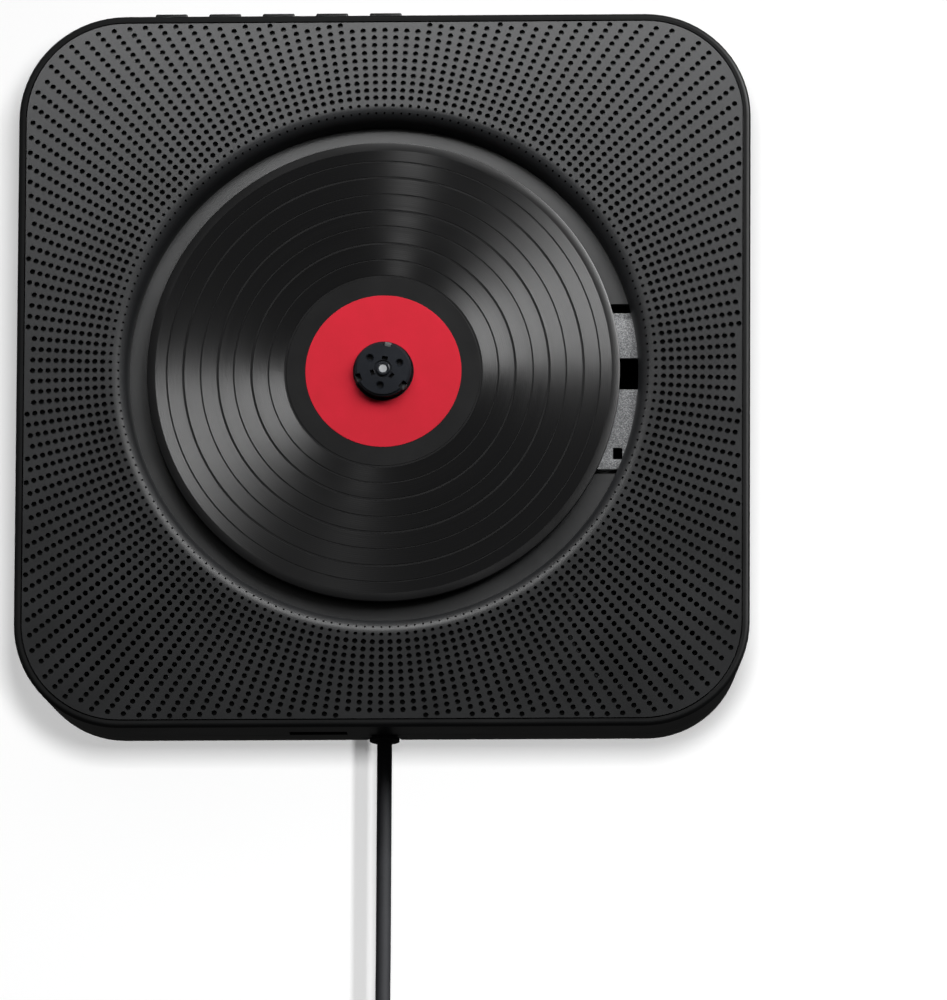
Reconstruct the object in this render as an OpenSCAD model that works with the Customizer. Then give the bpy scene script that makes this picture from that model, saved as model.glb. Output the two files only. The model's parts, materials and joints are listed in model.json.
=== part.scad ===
// Wall mounted disc player with a perforated square front, a bare spinning disc and a pull cord.
// Every piece is drawn lying on its back: x is right, y is up, z is the distance off the wall.
// stand() then turns the whole player upright, so that it hangs on a wall at y = 0 and faces -Y.

/* [Body] */
// Width and height of the square body
body_w = 186; // [182:1:196]
// Corner radius of the body's outline
corner_r = 27; // [24:1:31]
// Distance from the wall to the front rim
body_d = 38; // [38:1:46]
// Depth of the front housing behind the rim
housing_d = 18; // [17:1:20]
// Wall thickness of housing and rear cover
wall_t = 2; // [1.6:0.1:2.4]
// Inward slope of the side walls for each millimetre behind the rim
side_slope = 0.117; // [0.08:0.001:0.13]
// Rounding radius of the rear edge
rear_round = 8; // [6:0.5:9]
// Gap between the wall and the rear cover
wall_gap = 3; // [2.5:0.5:4]

/* [Front] */
// Width of the flat band round the front
rim_w = 1.72; // [1.4:0.02:2]
// Rounding radius of the rim's outer edge
rim_round = 1; // [0.6:0.1:1.2]
// Width of the groove between rim and grille
groove_w = 0.33; // [0.25:0.01:0.5]
// Thickness of the perforated grille
grille_t = 1.4; // [1:0.1:1.6]
// Thickness of the frame behind the grille
frame_t = 1.6; // [1.2:0.1:2]
// Depth of the disc well below the front
well_d = 5.7; // [5.4:0.1:6.5]
// Diameter of the disc well's floor
well_floor_d = 129; // [127:0.5:131]
// Width of the rounded lip round the well
lip_w = 4.4; // [3.8:0.1:4.6]
// Thickness of the disc deck
deck_t = 2.3; // [2:0.1:3]

/* [Perforation] */
// Diameter of each hole
hole_d = 1.4; // [1:0.1:1.5]
// Number of radial lines of holes
line_count = 200; // [180:10:200]
// Radius of the first ring of holes
ring_first_r = 67.2; // [67:0.1:68]
// Distance from ring to ring
ring_pitch = 1.972; // [1.9:0.001:2.2]
// Clear of the speakers, one hole is cut on every so many lines
spare_line_step = 4; // [4:1:20]
// Clear of the speakers, one hole is cut on every so many rings
spare_ring_step = 5; // [5:1:10]

/* [Disc] */
// Diameter of the disc
disc_d = 120; // [118:0.5:121]
// Thickness of the disc
disc_t = 1.2; // [1.1:0.1:1.3]
// Diameter of the disc's centre hole
disc_bore_d = 15; // [15:0.1:15.4]
// Distance from the well's floor to the disc
disc_rise = 2; // [1.8:0.1:2.4]
// Diameter of the label at the disc's centre
label_d = 39.6; // [36:0.1:46]
// Thickness of the label
label_t = 0.1; // [0.1:0.05:0.2]

/* [Hub] */
// Diameter of the hub cap
hub_d = 14.4; // [14:0.1:14.5]
// Height of the hub cap above the disc's back
hub_h = 4.2; // [3.8:0.1:5]
// Diameter of the turntable under the disc
table_d = 31; // [28:0.5:32]
// Diameter of the spindle shaft
spindle_d = 2; // [1.6:0.1:2.2]
// Width of each chuck jaw
jaw_w = 1.8; // [1.4:0.1:2]
// Inward travel of each chuck jaw
jaw_travel = 0.6; // [0.4:0.1:0.7]

/* [Mechanism] */
// Distance of the lens from the spindle at rest
lens_start = 24; // [24:0.5:26]
// Travel of the pickup sled
sled_travel = 34; // [30:0.5:34]
// Diameter of the main guide rod
rod_d = 3; // [2.5:0.1:3.2]
// Diameter of the second guide rod
thin_rod_d = 2; // [1.6:0.1:2.2]
// Tooth module of the gears and the rack
tooth_m = 0.6; // [0.58:0.01:0.6]
// Diameter of the spindle motor
spindle_motor_d = 24.4; // [22:0.2:25]
// Diameter of the sled motor
sled_motor_d = 20; // [16:0.5:20]
// Length of both motors
motor_h = 12.5; // [10:0.5:12.5]
// Height of the rubber dampers
damper_h = 3.5; // [3.3:0.1:3.8]

/* [Buttons] */
// Width of each button
button_w = 8.2; // [7:0.1:9]
// Depth of each button, front to back
button_depth = 5; // [4:0.1:5.5]
// Distance from button to button
button_pitch = 13.64; // [12:0.01:14]
// Centre of the leftmost button
button_first_x = -54.7; // [-56:0.1:-52]
// Height of a button above the housing
button_proud = 2.8; // [2:0.1:3.2]
// Travel of a button
button_travel = 0.8; // [0.5:0.1:1]

/* [Speakers] */
// Distance of each speaker's centre from the body's middle, sideways and down
speaker_offset = 65; // [65:0.5:66]
// Outer diameter of a speaker's flange
speaker_d = 41; // [38:0.5:41]
// Diameter of a speaker's magnet
magnet_d = 22; // [18:0.5:24]

/* [Cord] */
// Diameter of the cord
cord_d = 3.8; // [3.6:0.1:4]
// Distance of the cord from the wall
cord_z = 16; // [16:0.5:17]
// Travel of the pull switch
cord_pull = 6; // [4:0.5:6]
// Width of the port opening in the bottom wall
port_w = 14.6; // [14:0.1:16]
// Middle of the port opening
port_x = -16.4; // [-17:0.1:-15]

/* [Fits] */
// Gap round a part that slides
slide_gap = 0.1; // [0.05:0.01:0.15]
// Gap round a part that is fitted once
fit_gap = 0.2; // [0.1:0.05:0.3]

/* [Hidden] */
$fn = 48;

// Heights of the front, counted off the wall
face_z = body_d;
frame_z = face_z - grille_t - frame_t;
floor_z = face_z - well_d;
deck_z = floor_z - deck_t;
split_z = body_d - housing_d;
rear_z = wall_gap;
inside_z = rear_z + wall_t;

// Outline of the front, seen from the axis
grille_w = body_w - 2 * (rim_w + groove_w);
grille_corner_r = corner_r - rim_w - groove_w;
frame_w = body_w - 2 * (rim_w + slide_gap);
frame_corner_r = corner_r - rim_w - slide_gap;
ledge_w = 1.5;
// The rings of the perforation that are cut, and the least distance from a hole to the edge
first_ring = 2;
last_ring = 27;
hole_edge = 2;
well_r = well_floor_d / 2;
lip_r = well_r + lip_w;
ring_wall_r = lip_r + 1.8;
inner_half = body_w / 2 - wall_inset(split_z) - wall_t;
deck_w = 2 * (inner_half - fit_gap);
deck_corner_r = corner_r - body_w / 2 + deck_w / 2;

// Wall plate and its hooks, pads
plate_w = 110;
plate_h = 56;
hook_plate_t = 2;
hook_x = 25;
hook_w = 8;
hook_y = 14;
plate_hole_x = 46;
plate_hole_y = 20;
plate_hole_r = 2.25;
pad_x = body_w / 2 - 25;

// Disc, hub and turntable
disc_z = floor_z + disc_rise;
disc_top_z = disc_z + disc_t;
hub_top_z = disc_z + hub_h;
table_t = 2;
label_bore_d = 15.4;
groove_radii = [55, 50.8, 46.4, 42.1, 38, 33.5, 29.2, 24.9];
groove_depth = 0.1;
jaw_angles = [80, 200, 320];
jaw_len = 2.4;
jaw_z = disc_top_z + 0.1;
jaw_h = 1.4;
hub_hole_r = 4.4;
jaw_start = hub_d / 2 + 0.2 - jaw_len;

// Mechanism, hung from the deck on dampers
damper_boss_h = 2;
damper_d = 8;
mech_frame_t = 2;
mech_top_z = deck_z - damper_boss_h - damper_h;
mech_frame_z = mech_top_z - mech_frame_t;
plate_drop = 0.7;
plate_t = 1.2;
plate_z = floor_z - plate_drop - plate_t;
rod_z = mech_top_z + 2;
rod_y = -15;
thin_rod_y = 9.5;
lug_t = 3;
lug_left_x = 10.5;
lug_right_x = lug_left_x + lug_t + 56.8;
lug_w = 6;
lug_h = 4;
sled_half = 9;
sled_low_y = rod_y - 3;
sled_high_y = thin_rod_y + 1.8;
sled_z = mech_frame_z - 3.5;
sled_top_z = mech_top_z + 4;
holder_x = 5.5;
holder_y = 3.6;
holder_h = 5.8;
pocket_gap = 0.5;
holder_z = sled_top_z - 3.3;
lens_d = 4.6;
lens_h = 1.6;
pickup_slot_w = 8.2;
opening_left_x = -21.5;
opening_low_y = -26.3;
opening_high_y = 18.1;
opening_right_x = 75;
gear_x = 40;
gear_teeth = 36;
small_teeth = 12;
pinion_teeth = 10;
mesh_angle = -50;
backlash = 0.1;
gear_boss_h = 0.3;
gear_z = mech_top_z + gear_boss_h + slide_gap;
gear_h = 1.5;
small_gear_h = 2.3;
gear_pin_r = 1;
rack_line_y = sled_low_y - 8.4;
rack_body_t = 1.8;
gear_y = rack_line_y - small_teeth * tooth_m / 2 - backlash;
mesh_d = (gear_teeth + pinion_teeth) * tooth_m / 2 + backlash;
pinion_x = gear_x + mesh_d * cos(mesh_angle);
pinion_y = gear_y + mesh_d * sin(mesh_angle);
motor_shaft_r = 1;
pin_r = 1.1;
post_r = 1.5;
damper_spots = [[-18, 26], [70, 26], [-18, -34], [62, -34]];
// The mechanism frame's edges, and those of its wing under the pickup's motor
mech_left_x = opening_left_x - 2.5;
mech_right_x = opening_right_x + 1;
mech_low_y = opening_low_y - 11.7;
mech_high_y = opening_high_y + 11.9;
wing_left_x = gear_x - 10;
wing_right_x = gear_x + 20;
wing_low_y = mech_low_y - 14;
// The speckled plates' edges inside the opening, and the notch and the square hole near their right end
plates_left_x = opening_left_x + 1.5;
plates_right_x = opening_right_x - 1.4;
plates_low_y = opening_low_y + 1.4;
plates_high_y = opening_high_y - 2.3;
notch_left_x = plates_right_x - 15.5;
notch_right_x = plates_right_x - 13.1;
notch_step = 1;
notch_top_y = plates_low_y + 2.3;
plate_hole_low_y = plates_low_y + 2.6;
plate_hole_high_y = plates_low_y + 5.6;
post_spots = [[-16, 12.5], [-16, -21], [71.8, 14.2], [71.8, -21.5]];

// Screws from the back, through the deck and into the inner frame
screw_spots = [[-80, 50], [80, 50], [-80, -36], [80, -36], [25, 78], [32, -78]];
screw_r = 1.5;
screw_head_r = 2.75;
screw_head_h = 2;
boss_r = 4;
pocket_top_z = inside_z + 9;
screw_tip_z = frame_z + 0.4;

// Buttons, along the top
button_z = split_z + 10;
housing_top_y = body_w / 2 - wall_inset(button_z);
button_top_y = housing_top_y + button_proud;
button_flange_over = 0.7;
button_flange_t = 0.8;
button_flange_y = body_w / 2 - inner_inset(button_z - button_depth / 2 - button_flange_over) - fit_gap;
button_low_y = button_flange_y - 2;
board_t = 1.6;
switch_h = 3.4;
button_board_y = button_low_y - button_travel - slide_gap / 2 - 0.2 - switch_h - board_t;
button_board_low_x = button_first_x - 8;
button_board_w = 4 * button_pitch + 16;

// Boards
board_low_x = -75;
board_low_y = -30;
board_w = 51;
board_h = 72;
board_z = inside_z + 4;
board_top_z = board_z + board_t;
// Each chip on the main board: its left and low edges, its width and its height
chips = [[14, 40, 10, 10], [32, 44, 7, 5], [32, 24, 9, 12], [10, 20, 6, 8], [14, 60, 12, 6]];
chip_t = 1.4;
// The plugs of the speakers' leads, at the board's lower edge
lead_plug_x = [16, 28];
lead_plug_w = 7;
lead_plug_len = 5;
lead_plug_h = 4;
// Each capacitor: its middle on the board, and its radius
cans = [[6, 30, 3], [42, 62, 4], [28, 16, 3]];
can_h = 9;
port_h = 6;
port_z = split_z + 4;
socket_w = 13.1;
socket_h = 5.7;
socket_len = 14;
socket_wall = 0.3;
socket_y = -body_w / 2 + wall_inset(port_z) + wall_t + fit_gap;

// Speakers
flange_z = floor_z;
flange_t = 1.6;
basket_r = speaker_d / 2 - 2;
cone_r = speaker_d / 2 - 3.2;
magnet_z = flange_z - 15.3;
magnet_h = 7;
lead_r = 0.6;
lead_up = [1, 0.2, 1];
// Each lead's own points, from its plug on the board to a terminal on the back of its speaker
lead_plug_z = board_top_z + lead_plug_h / 2;
lead_starts = [for (x = lead_plug_x) board_low_x + x + 3];
terminal = [speaker_offset - 6, 5 - speaker_offset];
left_lead = [
    [lead_starts[0], board_low_y, lead_plug_z], [lead_starts[0], board_low_y - 2, lead_plug_z],
    [lead_starts[0] - 1, -40, 12], [-terminal[0], -48, 12], [-terminal[0], terminal[1] + 2, magnet_z - 4],
    [-terminal[0], terminal[1], magnet_z - 2], [-terminal[0], terminal[1], magnet_z]
];
right_lead = [
    [lead_starts[1], board_low_y, lead_plug_z], [lead_starts[1], board_low_y - 2, lead_plug_z],
    [-40, -42, 9], [-26, -50, 8], [0, -54, 8], [30, -55, 8], [terminal[0] - 9, terminal[1] + 2, 9],
    [terminal[0], terminal[1], magnet_z - 4], [terminal[0] + 1, terminal[1], magnet_z - 2],
    [terminal[0] + 1, terminal[1], magnet_z]
];

// Pull switch and cord
switch_low_y = -76;
clamp_y = switch_low_y - 0.5;
clamp_len = 5;
clamp_r = 3;
cord_top_y = clamp_y - clamp_len;
slider_r = 1.5;
bottom_y = -body_w / 2 + wall_inset(cord_z);
grommet_r = 3.2;
cord_groove_w = 8.3;
cord_groove_d = 1.2;
tie_gap = 0.5;
tie_t = 0.6;
cord_sides = 8;
coil_sides = 6;
coil_turns = 9;
coil_layers = 4;
coil_rings = 24;
coil_step = 4.4;
coil_outer_r = 26.8;
coil_x = -14;
coil_y = -200;
coil_layer_turns = coil_turns / coil_layers;
coil_back_z = cord_z - (coil_layers - 1) * coil_step;

// The cord's own points, from the clamp down to the coil, and from the coil down to the plug
cord_route = [
    [0, -90, cord_z], [0, -102, cord_z], [0, -114, cord_z], [0, -126, cord_z], [0, -138, cord_z],
    [0, -148, cord_z], [0, -160, cord_z], [0.7, -166.4, cord_z], [2.9, -172.5, cord_z],
    [6.4, -178, cord_z], [9.9, -183.5, cord_z], [12.1, -189.6, cord_z]
];
plug_x = coil_x + coil_outer_r;
plug_z = 6;
tail_route = [[plug_x, -210, 3.2], [plug_x, -219, 5.2], [plug_x, -226, plug_z]];
plug_y = -232;
plug_len = 20;
plug_w = 15;
plug_t = 8;
shell_len = 12;
shell_w = 12;
shell_t = 4.5;
shell_wall = 0.4;

function wall_inset(z) = side_slope * (body_d - rim_round - z);
function inner_inset(z) = let(low = wall_inset(split_z) + wall_t, high = rim_w + ledge_w)
    low + (high - low) * (z - split_z) / (frame_z - split_z);
function arc(cx, cy, rx, ry, from, to, steps) =
    [for (i = [0:steps]) let(a = from + (to - from) * i / steps) [cx + rx * cos(a), cy + ry * sin(a)]];
function cord_points() = concat([[0, cord_top_y, cord_z]], cord_route, [[coil_x + coil_outer_r,
    coil_y + cord_d, cord_z], [coil_x + coil_outer_r, coil_y, cord_z]]);
function tail_points() = concat([[coil_x + coil_outer_r, coil_y, coil_back_z], [coil_x + coil_outer_r,
    coil_y - cord_d, coil_back_z]], tail_route, [[plug_x, plug_y, plug_z]]);

// How far a coil has gone in from its outer ring, in turns, and how many layers it has climbed
function coil_in(t) = let(u = t % (2 * coil_layer_turns)) min(u, 2 * coil_layer_turns - u);
function climbed(t, k) = min(1, max(0, (t - k * coil_layer_turns + 0.25) / 0.5));
function coil_point(t) = let(r = coil_outer_r - coil_step * coil_in(t), a = -360 * t,
    up = climbed(t, 1) + climbed(t, 2) + climbed(t, 3))
    [coil_x + r * cos(a), coil_y + r * sin(a), cord_z - coil_step * up];
coil_count = coil_turns * coil_rings;
coil_points = [for (i = [0:coil_count]) coil_point(i / coil_rings)];
coil_gaps = [for (i = [0:coil_count - 13]) min([for (j = [i + 13:coil_count])
    norm(coil_points[i] - coil_points[j])])];
echo(least_gap_of_the_coil_to_itself = min(coil_gaps) - cord_d);

// A unit vector along a route at one of its points
function along(p, i) = let(a = p[max(0, i - 1)], b = p[min(len(p) - 1, i + 1)]) (b - a) / norm(b - a);
// The points of one ring round a route; up is any direction that the route never takes
function ring(c, dir, r, sides, up) = let(side = cross(dir, up), u = side / norm(side), v = cross(u, dir))
    [for (k = [0:sides - 1]) let(a = 360 * (k + 0.5) / sides) c + r * (cos(a) * u + sin(a) * v)];

// A round tube through a list of points, its ends square to the given directions
module tube(points, r, sides, start_dir, end_dir, up = [0, 0, 1]) {
    last = len(points) - 1;
    dirs = [for (i = [0:last]) i == 0 ? start_dir : i == last ? end_dir : along(points, i)];
    rings = [for (i = [0:last]) each ring(points[i], dirs[i], r, sides, up)];
    walls = [for (i = [0:last - 1], k = [0:sides - 1]) let(a = i * sides + k,
        b = i * sides + (k + 1) % sides)
        each [[a, a + sides, b], [b, a + sides, b + sides]]];
    caps = [for (k = [1:sides - 2]) each [[0, k, k + 1],
        [last * sides, last * sides + k + 1, last * sides + k]]];
    polyhedron(points = rings, faces = concat(walls, caps));
}

// Turns the player from lying on its back to hanging on the wall
module stand() {
    rotate([90, 0, 0]) children();
}

// A flat slab of a drawn outline between two heights off the wall
module slab(z0, z1) {
    translate([0, 0, z0]) linear_extrude(z1 - z0) children();
}

module block(x0, x1, y0, y1, z0, z1) {
    translate([x0, y0, z0]) cube([x1 - x0, y1 - y0, z1 - z0]);
}

module post(spot, r, z0, z1) {
    translate([spot[0], spot[1], z0]) cylinder(r = r, h = z1 - z0);
}

module round_square(w, r) {
    square([w, w - 2 * r], center = true);
    square([w - 2 * r, w], center = true);
    for (x = [-1, 1], y = [-1, 1]) translate([x * (w / 2 - r), y * (w / 2 - r)]) circle(r = r);
}

// Sweeps a drawn section round the body: x is the distance out from a corner's centre, y the height
module around_body() {
    middle = body_w / 2 - corner_r;
    for (side = [0:3]) rotate([0, 0, 90 * side]) {
        translate([middle, middle, 0]) rotate_extrude(angle = 90, $fn = 64) children();
        translate([middle, middle, 0]) rotate([90, 0, 0]) linear_extrude(2 * middle) children();
    }
}

// The body's casing

module wall_plate() {
    color("silver") stand() difference() {
        union() {
            block(-plate_w / 2, plate_w / 2, -plate_h / 2, plate_h / 2, 0, hook_plate_t);
            for (x = [-hook_x, hook_x]) {
                block(x - hook_w / 2, x + hook_w / 2, hook_y - 2, hook_y, hook_plate_t, inside_z + 1.8);
                block(x - hook_w / 2, x + hook_w / 2, hook_y, hook_y + 3, inside_z + fit_gap,
                    inside_z + 1.8);
            }
        }
        for (x = [-1, 1], y = [-1, 1]) post([x * plate_hole_x, y * plate_hole_y], plate_hole_r, -1,
            hook_plate_t + 1);
    }
}

module foot_pads() {
    color("dimgray") stand() for (x = [-pad_x, pad_x]) post([x, -pad_x], 6, 0, rear_z);
}

module rear_cover() {
    outer_x = corner_r - wall_inset(rear_z + rear_round);
    arc_x = outer_x - rear_round;
    split_x = corner_r - wall_inset(split_z);
    color("#1d1e20") stand() difference() {
        union() {
            around_body() polygon(concat(
                [[arc_x, inside_z]],
                arc(arc_x, rear_z + rear_round, rear_round - wall_t, rear_round - wall_t, 270, 360, 6),
                [[split_x - wall_t, split_z], [split_x, split_z]],
                arc(arc_x, rear_z + rear_round, rear_round, rear_round, 360, 270, 6)
            ));
            around_body() translate([split_x - wall_t - fit_gap - 1.2, split_z - 2])
                square([1.2 + fit_gap, 4 - fit_gap]);
            slab(rear_z, inside_z) round_square(body_w - 2 * (corner_r - arc_x), arc_x);
            for (p = screw_spots) post(p, boss_r, inside_z, deck_z);
            for (x = [6, board_w - 6], y = [6, board_h - 6])
                post([board_low_x + x, board_low_y + y], 2.5, inside_z, board_z);
            for (x = [-8, 2]) post([port_x + x, socket_y + 15], 2.2, inside_z,
                port_z - socket_h / 2 - board_t);
            block(-8, 8, switch_low_y, switch_low_y + 16, inside_z, cord_z - 7);
        }
        around_body() translate([split_x - wall_t - fit_gap, split_z - fit_gap]) square([wall_t + 2, 4]);
        for (p = screw_spots) {
            post(p, screw_head_r + fit_gap, rear_z - 1, pocket_top_z);
            post(p, screw_r + fit_gap, pocket_top_z - 1, deck_z + 1);
        }
        block(port_x - 12, port_x + 8, -inner_half, -inner_half + 3, split_z - 2, split_z + 3);
        for (x = [-hook_x, hook_x])
            block(x - hook_w / 2 - 0.5, x + hook_w / 2 + 0.5, hook_y - 10, hook_y + fit_gap, rear_z - 1,
                inside_z + 1);
        translate([0, bottom_y - 4, cord_z]) rotate([-90, 0, 0]) cylinder(r = grommet_r, h = 10);
        slab(rear_z - 1, cord_z) translate([0, bottom_y]) polygon([
            [-cord_groove_w, -cord_groove_d], [cord_groove_w, -cord_groove_d],
                [cord_groove_w / 2, wall_inset(1) - 3.3],
            [cord_groove_w / 2 - 1.3, cord_groove_d + 0.9], [-cord_groove_w / 2 + 1.3, cord_groove_d + 0.9]
        ]);
    }
}

module rear_screws() {
    color("silver") stand() for (p = screw_spots) {
        post(p, screw_head_r, pocket_top_z - screw_head_h, pocket_top_z);
        post(p, screw_r, pocket_top_z, screw_tip_z);
    }
}

module front_housing() {
    rim_x = corner_r - wall_inset(body_d - rim_round);
    split_x = corner_r - wall_inset(split_z);
    ledge_x = corner_r - rim_w - ledge_w;
    color("#26282b") stand() difference() {
        around_body() polygon(concat(
            [[split_x - wall_t, split_z], [split_x, split_z]],
            arc(rim_x - rim_round, body_d - rim_round, rim_round, rim_round, 0, 90, 5),
            [[corner_r - rim_w, body_d], [corner_r - rim_w, frame_z], [ledge_x, frame_z]]
        ));
        for (i = [0:4]) button_hole(i);
        block(port_x - port_w / 2, port_x + port_w / 2, -body_w / 2 - 1, socket_y + 1,
            port_z - port_h / 2, port_z + port_h / 2);
    }
}

module button_hole(i) {
    x = button_first_x + i * button_pitch;
    half = button_w / 2 + slide_gap;
    block(x - half, x + half, button_flange_y, button_top_y, button_z - button_depth / 2 - slide_gap,
        button_z + button_depth / 2 + slide_gap);
}

module inner_frame() {
    back_a = lip_w - grille_t - slide_gap;
    back_b = well_d - grille_t - slide_gap;
    color("#101113") stand() difference() {
        union() {
            slab(frame_z, frame_z + frame_t) difference() {
                round_square(frame_w, frame_corner_r);
                circle(r = lip_r);
            }
            rotate_extrude($fn = 96) polygon(concat(
                arc(lip_r, floor_z, back_a, back_b, 90, 180, 6),
                    [[ring_wall_r, floor_z], [ring_wall_r, frame_z + frame_t],
                [lip_r, frame_z + frame_t]]
            ));
            for (p = screw_spots) post(p, boss_r, floor_z, frame_z);
            for (x = [-1, 1]) translate([x * speaker_offset, -speaker_offset])
                slab(flange_z + flange_t + slide_gap, frame_z)
                difference() {
                    circle(r = speaker_d / 2);
                    circle(r = basket_r);
                }
        }
        for (p = screw_spots) post(p, screw_r + slide_gap / 2, floor_z - 1, screw_tip_z + 0.3);
        for (x = [-1, 1]) post([x * speaker_offset, -speaker_offset], basket_r, frame_z - 1, face_z);
    }
}

// One point of the perforation, on a given ring and radial line
function hole_spot(ring, line) = let(r = ring_first_r + ring * ring_pitch, a = 360 * line / line_count)
    [r * cos(a), r * sin(a)];
// The distance from a point of the grille to its nearest outer edge
function edge_room(p) = let(straight = grille_w / 2 - grille_corner_r)
    grille_corner_r - norm([max(0, abs(p[0]) - straight), max(0, abs(p[1]) - straight)]);
// How far a point lies from the nearer speaker's middle
function speaker_room(p) = norm([abs(p[0]) - speaker_offset, p[1] + speaker_offset]);
speaker_holes = [for (i = [first_ring:last_ring], j = [0:line_count - 1]) let(p = hole_spot(i, j))
    if (speaker_room(p) < cone_r) p];
spare_holes = [for (i = [first_ring:spare_ring_step:last_ring], j = [0:spare_line_step:line_count - 1])
    let(p = hole_spot(i, j)) if (speaker_room(p) > speaker_d / 2 && edge_room(p) > hole_edge) p];

module front_grille() {
    color("#3a3c3f") stand() union() {
        slab(face_z - grille_t, face_z) difference() {
            round_square(grille_w, grille_corner_r);
            circle(r = lip_r);
            for (p = concat(speaker_holes, spare_holes)) translate(p) circle(d = hole_d, $fn = 24);
        }
        rotate_extrude($fn = 96) polygon(concat(
            arc(lip_r, floor_z, lip_w, well_d, 180, 90, 8),
            arc(lip_r, floor_z, lip_w - grille_t, well_d - grille_t, 90, 180, 8)
        ));
    }
}

module disc_deck() {
    color("#141517") stand() difference() {
        union() {
            slab(deck_z, floor_z) round_square(deck_w, deck_corner_r);
            for (p = damper_spots) post(p, damper_d / 2, deck_z - damper_boss_h, deck_z);
        }
        block(opening_left_x, opening_right_x, opening_low_y, opening_high_y, deck_z - 1, face_z);
        for (x = [-1, 1]) post([x * speaker_offset, -speaker_offset], basket_r + fit_gap, deck_z - 1,
            face_z);
        for (p = screw_spots) post(p, screw_r + fit_gap, deck_z - 1, face_z);
        for (p = damper_spots) post(p, pin_r, deck_z - damper_boss_h - 1, floor_z - 0.8);
        block(button_board_low_x - fit_gap, button_board_low_x + button_board_w + fit_gap,
            button_board_y, body_w,
            deck_z - 1, face_z);
    }
}

// The mechanism under the disc

module dampers() {
    color("#222222") stand() for (p = damper_spots) difference() {
        post(p, damper_d / 2, mech_top_z, mech_top_z + damper_h);
        post(p, pin_r, mech_top_z - 1, mech_top_z + damper_h + 1);
    }
}

module mech_screws() {
    color("silver") stand() {
        for (p = damper_spots) {
            post(p, 2.2, mech_frame_z - 1.4, mech_frame_z);
            post(p, pin_r, mech_frame_z, floor_z - 1);
        }
        for (p = post_spots) {
            post(p, 1.5, plate_z + plate_t, plate_z + plate_t + 0.5);
            post(p, 0.8, plate_z - 3, plate_z + plate_t);
        }
    }
}

module rod_lugs(y, w) {
    for (x = [lug_left_x, lug_right_x])
        block(x, x + lug_t, y - w / 2, y + w / 2, mech_top_z, mech_top_z + lug_h);
}

module mech_frame() {
    color("#2b2c2e") stand() difference() {
        union() {
            block(mech_left_x, mech_right_x, mech_low_y, mech_high_y, mech_frame_z, mech_top_z);
            block(wing_left_x, wing_right_x, wing_low_y, mech_low_y, mech_frame_z, mech_top_z);
            rod_lugs(rod_y, lug_w);
            rod_lugs(thin_rod_y, lug_w - 1);
            for (p = post_spots) post(p, post_r, mech_top_z, plate_z);
            post([gear_x, gear_y], 2.2, mech_top_z, mech_top_z + gear_boss_h);
            post([gear_x, gear_y], gear_pin_r, mech_top_z, gear_z + gear_h + small_gear_h + 0.3);
        }
        block(lug_left_x + lug_t + 0.5, lug_right_x - 0.3, sled_low_y - 1.5, sled_high_y + 1.2,
            mech_frame_z - 1, mech_top_z + 1);
        post([0, 0], 3.5, mech_frame_z - 1, mech_top_z + 1);
        post([pinion_x, pinion_y], 3, mech_frame_z - 1, mech_top_z + 1);
        for (p = damper_spots) post(p, pin_r, mech_frame_z - 1, mech_top_z + 1);
        for (p = post_spots) post(p, 0.8, plate_z - 3, plate_z + 1);
        translate([lug_left_x - 1, rod_y, rod_z]) rotate([0, 90, 0])
            cylinder(d = rod_d, h = lug_right_x + lug_t + 2);
        translate([lug_left_x - 1, thin_rod_y, rod_z]) rotate([0, 90, 0])
            cylinder(d = thin_rod_d, h = lug_right_x + lug_t + 2);
    }
}

module mech_plate() {
    color("#8d8e90") stand() difference() {
        slab(plate_z, plate_z + plate_t) polygon([
            [plates_left_x, plates_low_y], [notch_left_x, plates_low_y], [notch_right_x, notch_top_y],
            [notch_right_x, plates_low_y + notch_step], [plates_right_x, plates_low_y + notch_step],
            [plates_right_x, plates_high_y], [plates_left_x, plates_high_y]
        ]);
        post([0, 0], 5, plate_z - 1, face_z);
        block(lens_start - holder_x - 1, lens_start + sled_travel + holder_x + 2, -pickup_slot_w / 2,
            pickup_slot_w / 2, plate_z - 1, face_z);
        block(notch_left_x, notch_right_x, plate_hole_low_y, plate_hole_high_y, plate_z - 1, face_z);
        for (p = post_spots) post(p, 0.8, plate_z - 1, face_z);
    }
}

module spindle_motor() {
    color("silver") stand() difference() {
        union() {
            post([0, 0], spindle_motor_d / 2, mech_frame_z - motor_h, mech_frame_z);
            post([0, 0], 3, mech_frame_z, mech_frame_z + 1);
        }
        post([0, 0], spindle_d / 2 + slide_gap / 2, mech_frame_z - 8, mech_top_z);
    }
}

module spindle_shaft() {
    color("lightgray") stand() post([0, 0], spindle_d / 2, mech_frame_z - 7.6, hub_top_z - 0.1);
}

module turntable() {
    color("#1b1b1d") stand() rotate_extrude($fn = 96) {
        translate([spindle_d / 2, mech_top_z + 0.6]) square([3 - spindle_d / 2, disc_z - mech_top_z - 0.6]);
        translate([spindle_d / 2, disc_z - table_t]) square([table_d / 2 - spindle_d / 2, table_t]);
    }
}

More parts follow.
